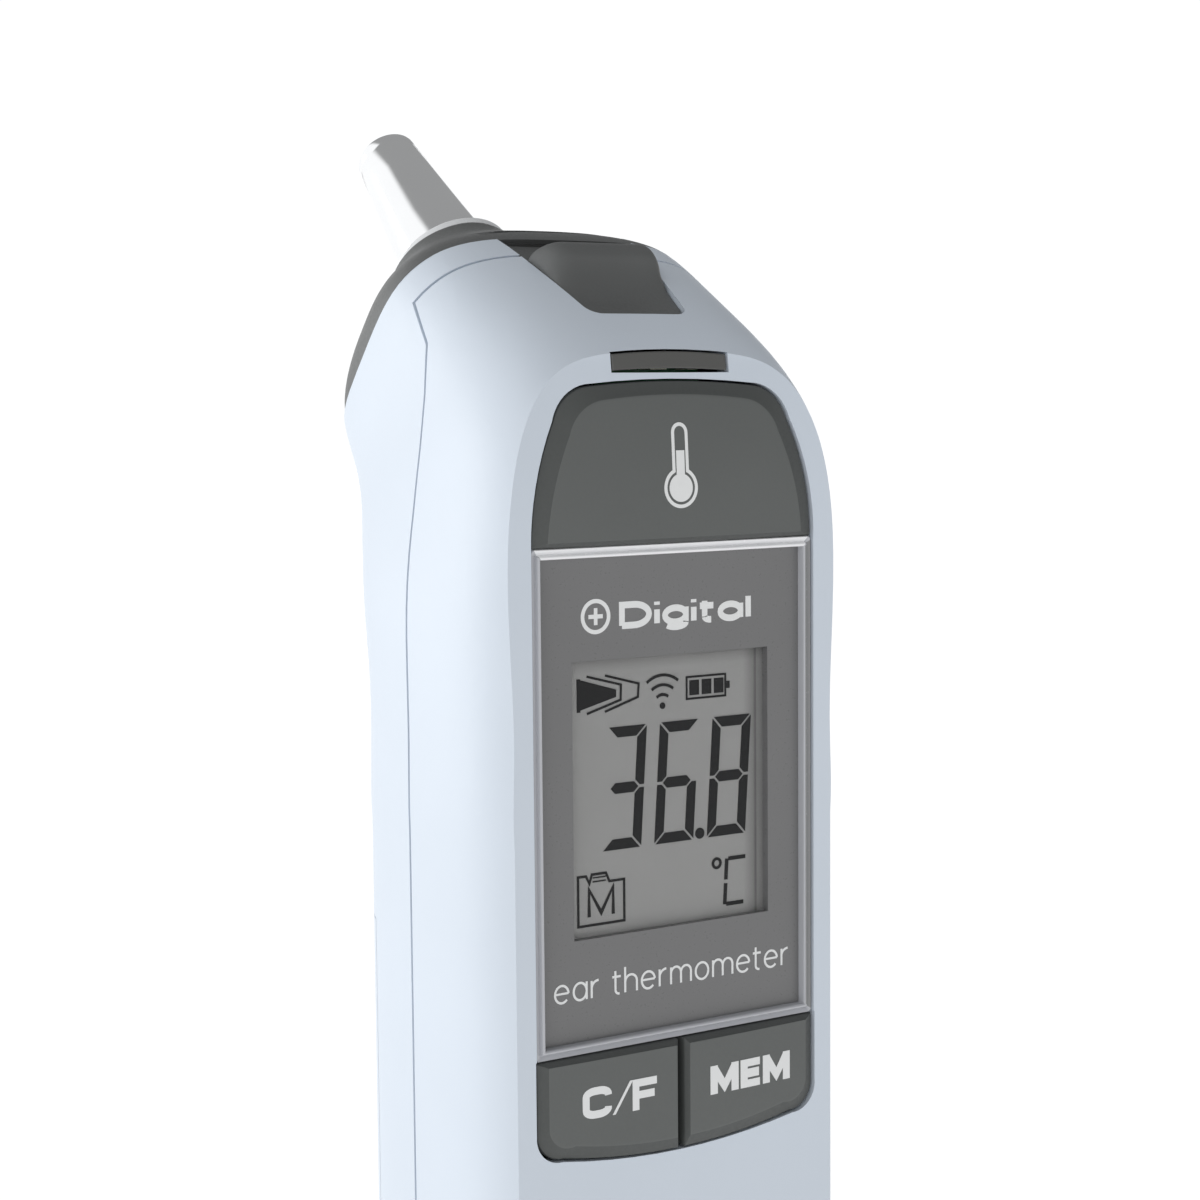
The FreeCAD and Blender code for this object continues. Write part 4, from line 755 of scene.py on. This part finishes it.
def wordPiece(name, text, look, surface):
    left, low, width, height, weight, gap = (look[key] for key in ("left", "low", "width", "height",
                                                                   "weight", "gap"))
    reach = sum(letters[letter][0] for letter in text)
    scaleX = (width - len(text) * weight - (len(text) - 1) * gap) / reach
    scaleZ = height - weight
    shapes, start = [], left + weight / 2
    for letter in text:
        for line in letters[letter][1]:
            centre = [(start + x * scaleX, low + weight / 2 + z * scaleZ) for x, z in line]
            if letter == "e":
                shapes += ribbon([centre[0], centre[1]], weight * 0.9)
                centre = centre[1:]
            shapes += ribbon(centre, weight * (0.5 if letter == "/" else 1))
        start += letters[letter][0] * scaleX + weight + gap
    limits = (low, low + height) if text.isupper() else None
    return printPiece(name, shapes, surface, finishes["ink"], limits=limits)


panelAt = lambda x, z: -14.9
lcdAt = lambda x, z: -14.03
measureAt = lambda x, z: crownAt(measureLook, x, z)
lowerAt = lambda x, z: crownAt(lowerLook, x, z)

# thermometer pictogram on the measuring key
bulb = {"x": 0.1, "z": 121.95, "outer": 2.05, "disc": 1.42, "tubeTop": 128.5, "tube": 1.0, "line": 0.36,
        "column": 0.5,
        "columnTop": 125.7}


def thermometerShapes():
    b = bulb
    reach = b["outer"] - b["line"] / 2
    stem = b["tube"] - b["line"] / 2
    opening = math.degrees(math.asin(stem / reach))
    loop = ringLine(b["x"], b["z"], reach, 40, 90 + opening, 450 - opening)
    cap = ringLine(b["x"], b["tubeTop"] - b["tube"], stem, 14, 0, 180)
    shapes = ribbon(loop + cap, b["line"], closed=True)
    shapes.append(ringLine(b["x"], b["z"], b["disc"], 36))
    shapes.append([(b["x"] - b["column"], b["z"]), (b["x"] + b["column"], b["z"]),
                   (b["x"] + b["column"], b["columnTop"]), (b["x"] - b["column"], b["columnTop"])])
    return shapes


marks = [(printPiece("thermometerMark", thermometerShapes(), measureAt, finishes["ink"]), "measure_key")]
words = {
    "unitMark": ("C/F", lowerAt, "unit_key",
                 {"left": -12.25, "low": 59.1, "width": 8.9, "height": 3.2, "weight": 0.8, "gap": 0.3}),
    "memoryMark": ("MEM", lowerAt, "memory_key",
                   {"left": 3.35, "low": 59.1, "width": 10.5, "height": 3.0, "weight": 0.93, "gap": 0.26}),
    "panelWord": ("Digital", panelAt, "housing",
                  {"left": -6.45, "low": 107.95, "width": 16.4, "height": 2.75, "weight": 0.68, "gap": 0.3}),
    "panelRow": ("ear thermometer", panelAt, "housing",
                 {"left": -14.6, "low": 70.85, "width": 29.4, "height": 2.75, "weight": 0.24, "gap": 0.36}),
}
for name, (text, surface, body, look) in words.items():
    marks.append((wordPiece(name, text, look, surface), body))

# plain ring with a cross on the panel
emblem = {"x": -9.25, "z": 109.4, "radius": 1.55, "line": 0.42, "arm": 0.85}
crossArm = emblem["arm"]
emblemShapes = ribbon(ringLine(emblem["x"], emblem["z"], emblem["radius"]), emblem["line"], closed=True)
emblemShapes += ribbon([(emblem["x"] - crossArm, emblem["z"]), (emblem["x"] + crossArm, emblem["z"])],
                       emblem["line"])
emblemShapes += ribbon([(emblem["x"], emblem["z"] - crossArm), (emblem["x"], emblem["z"] + crossArm)],
                       emblem["line"])
marks.append((printPiece("panelEmblem", emblemShapes, panelAt, finishes["ink"]), "housing"))
for piece, body in marks:
    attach(piece, body)
print("prints made:", len(marks))


# display: number, unit, and the small pictures

digitLook = {"low": 85.5, "high": 98.0, "slant": 0.066, "stroke": 1.08, "gap": 0.16}
digitRows = (("3", -8.15, 4.75), ("6", -1.75, 4.85), ("8", 4.85, 4.9))
segmentsOn = {"3": "abcdg", "6": "acdefg", "8": "abcdefg"}


def segmentShapes(digit, left, width):
    look = digitLook
    t, g = look["stroke"], look["gap"]
    low, high = look["low"], look["high"]
    right, middle = left + width, (look["low"] + look["high"]) / 2
    h = t / 2
    flats = {
        "a": [(left + g, high), (right - g, high), (right - t - g, high - t), (left + t + g, high - t)],
        "d": [(left + t + g, low + t), (right - t - g, low + t), (right - g, low), (left + g, low)],
        "g": [(left + h + g, middle), (left + t + g, middle + h), (right - t - g, middle + h),
              (right - h - g, middle),
              (right - t - g, middle - h), (left + t + g, middle - h)],
        "b": [(right, high - g), (right, middle + g), (right - h, middle + g), (right - t, middle + h + g),
              (right - t, high - t - g)],
        "c": [(right, middle - g), (right, low + g), (right - t, low + t + g), (right - t, middle - h - g),
              (right - h, middle - g)],
        "f": [(left, high - g), (left + t, high - t - g), (left + t, middle + h + g), (left + h, middle + g),
              (left, middle + g)],
        "e": [(left, middle - g), (left + h, middle - g), (left + t, middle - h - g), (left + t, low + t + g),
              (left, low + g)],
    }
    lean = lambda x, z: (x + (z - low) * look["slant"], z)
    return [[lean(*p) for p in flats[key]] for key in segmentsOn[digit]]


numberShapes = []
for digit, left, width in digitRows:
    numberShapes += segmentShapes(digit, left, width)
numberShapes.append(ringLine(3.95, 86.05, 0.58, 20))

unitLook = {"left": 7.1, "right": 9.5, "low": 78.0, "high": 83.2, "slant": 0.06, "stroke": 0.42, "gap": 0.2}


def unitShapes():
    u = unitLook
    lean = lambda x, z: (x + (z - u["low"]) * u["slant"], z)
    middle = (u["low"] + u["high"]) / 2
    half = u["stroke"] / 2
    rows = [[(u["left"] + half, u["high"] - half), (u["right"], u["high"] - half)],
            [(u["left"] + half, u["low"] + half), (u["right"], u["low"] + half)],
            [(u["left"], u["high"] - 0.2), (u["left"], middle + u["gap"])],
            [(u["left"], middle - u["gap"]), (u["left"], u["low"] + 0.2)]]
    shapes = []
    for row in rows:
        shapes += ribbon([lean(*p) for p in row], u["stroke"])
    return shapes + ribbon(ringLine(6.1, 82.65, 0.48, 20), 0.3, closed=True)


def coverShapes():
    shapes = [[(-11.0, 99.8), (-10.6, 99.8), (-10.6, 103.15), (-11.0, 103.15)],
              [(-10.6, 103.05), (-6.3, 101.8), (-6.3, 101.05), (-10.6, 100.0)]]
    shapes += ribbon([(-9.8, 103.35), (-5.7, 102.25), (-5.75, 100.72), (-9.8, 99.6)], 0.24)
    shapes += ribbon([(-7.6, 103.3), (-3.55, 102.2), (-3.65, 100.85), (-7.65, 99.65)], 0.24)
    return shapes


def wavesShapes():
    shapes = [ringLine(-0.62, 99.7, 0.34, 16)]
    for radius in (1.15, 2.15, 3.15):
        shapes += ribbon(ringLine(-0.62, 99.7, radius, 14, 52, 128), 0.3)
    return shapes


def chargeShapes():
    shapes = ribbon([(2.4, 100.15), (7.3, 100.15), (7.3, 102.4), (2.4, 102.4)], 0.22, closed=True)
    shapes.append([(7.35, 100.9), (7.85, 100.9), (7.85, 101.65), (7.35, 101.65)])
    for left in (2.75, 4.3, 5.85):
        shapes.append([(left, 100.5), (left + 1.2, 100.5), (left + 1.2, 102.05), (left, 102.05)])
    return shapes


def folderShapes():
    outline = [(-11.05, 78.15), (-5.5, 78.15), (-5.5, 82.4), (-7.3, 82.4), (-7.7, 83.3), (-9.4, 83.3),
               (-9.7, 82.4),
               (-10.1, 83.2), (-11.05, 83.2)]
    shapes = ribbon(outline, 0.26, closed=True)
    for height in (82.55, 82.95):
        shapes += ribbon([(-9.3, height), (-7.75, height)], 0.14)
    return shapes + ribbon([(-9.75, 79.0), (-9.75, 81.8), (-8.3, 79.3), (-6.85, 81.8), (-6.85, 79.0)], 0.36)


symbols = {"numberSegments": numberShapes, "unitSegments": unitShapes(), "coverSymbol": coverShapes(),
           "wavesSymbol": wavesShapes(), "chargeSymbol": chargeShapes(), "memorySymbol": folderShapes()}
for name, shapes in symbols.items():
    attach(printPiece(name, shapes, lcdAt, finishes["segment"], lift=0.02, sink=0.03), "housing")
print("display symbols:", len(symbols))


# stage, light and camera

stageLook = {"reach": 4.0, "glow": 0.9}
floorFinish = moulded("paleFloor", (0.22, 0.22, 0.22), rough=0.8, drift=0.02, driftScale=4, grain=0.05)
floorShader = floorFinish.node_tree.nodes["Principled BSDF"]
floorShader.inputs["Emission Color"].default_value = (1, 1, 1, 1)
floorShader.inputs["Emission Strength"].default_value = stageLook["glow"]
reach = stageLook["reach"]
floor = newPiece("floor", [(-reach, -reach, 0), (reach, -reach, 0), (reach, reach, 0), (-reach, reach, 0)],
                 [(0, 1, 2, 3)], [floorFinish])
floor.location.z = -0.05 * mm

skyLook = {"horizon": 1.04, "overhead": 0.32, "liftFrom": 0.36, "liftTo": 0.52,
           "sideFrom": 0.36, "sideTo": 1.0, "sideDim": 0.4}
world = bpy.data.worlds.new("studio")
scene.world = world
world.use_nodes = True
sky = world.node_tree


def skySum(kind, first, second):
    node = sky.nodes.new("ShaderNodeMath")
    node.operation = kind
    for socket, value in zip(node.inputs, (first, second)):
        if isinstance(value, (int, float)):
            socket.default_value = value
        else:
            wire(sky, value, socket)
    return node.outputs["Value"]


def skyFade(value, start, end, first, last):
    node = sky.nodes.new("ShaderNodeMapRange")
    node.interpolation_type = "SMOOTHSTEP"
    for key, number in (("From Min", start), ("From Max", end), ("To Min", first), ("To Max", last)):
        node.inputs[key].default_value = number
    wire(sky, value, node.inputs["Value"])
    return node.outputs["Result"]


split = sky.nodes.new("ShaderNodeSeparateXYZ")
wire(sky, sky.nodes.new("ShaderNodeTexCoord").outputs["Generated"], split.inputs["Vector"])
lift = skySum("MULTIPLY", split.outputs["Z"], skySum("ADD", split.outputs["X"], 1.0))
upper = skyFade(lift, skyLook["liftFrom"], skyLook["liftTo"], skyLook["horizon"], skyLook["overhead"])
rightward = skySum("SUBTRACT", skySum("MULTIPLY", split.outputs["X"], 0.9),
                   skySum("MULTIPLY", split.outputs["Y"], 0.45))
side = skyFade(rightward, skyLook["sideFrom"], skyLook["sideTo"], 1.0, skyLook["sideDim"])
wire(sky, skySum("MULTIPLY", upper, side), sky.nodes["Background"].inputs["Strength"])
sky.nodes["Background"].inputs["Color"].default_value = (0.985, 0.992, 1.0, 1)


def softLamp(name, place, target, size, power, colour=(1, 1, 1)):
    lamp = bpy.data.lights.new(name, "AREA")
    lamp.shape = "SQUARE"
    lamp.size = size
    lamp.energy = power
    lamp.color = colour
    holder = bpy.data.objects.new(name, lamp)
    scene.collection.objects.link(holder)
    holder.location = place
    holder.rotation_euler = (Vector(target) - Vector(place)).to_track_quat("-Z", "Y").to_euler()
    return holder


softLamp("leftSoftbox", (-0.55, 0.5, 0.14), (0, 0, 0.1), 0.5, 2.1, (0.98, 0.99, 1.0))

cameraLook = {"place": (-138.95, -213.43, 131.97), "lens": 72.03, "turn": -33.268, "tilt": 5.042,
              "roll": -0.506}
turn, tilt, roll = (math.radians(cameraLook[key]) for key in ("turn", "tilt", "roll"))
back = Vector((math.sin(turn) * math.cos(tilt), -math.cos(turn) * math.cos(tilt), math.sin(tilt)))
right = (-back).cross(Vector((0, 0, 1))).normalized()
upward = right.cross(-back)
rolledRight = right * math.cos(roll) + upward * math.sin(roll)
rolledUp = upward * math.cos(roll) - right * math.sin(roll)
camera = bpy.data.cameras.new("camera")
camera.lens = cameraLook["lens"]
camera.sensor_width = 36
camera.clip_start = 0.01
holder = bpy.data.objects.new("camera", camera)
scene.collection.objects.link(holder)
holder.matrix_world = Matrix.Translation(Vector(cameraLook["place"]) * mm) @ Matrix(
    (rolledRight, rolledUp, back)).transposed().to_4x4()
scene.camera = holder
scene.view_settings.view_transform = "Standard"
print("stage, lamps and camera set")
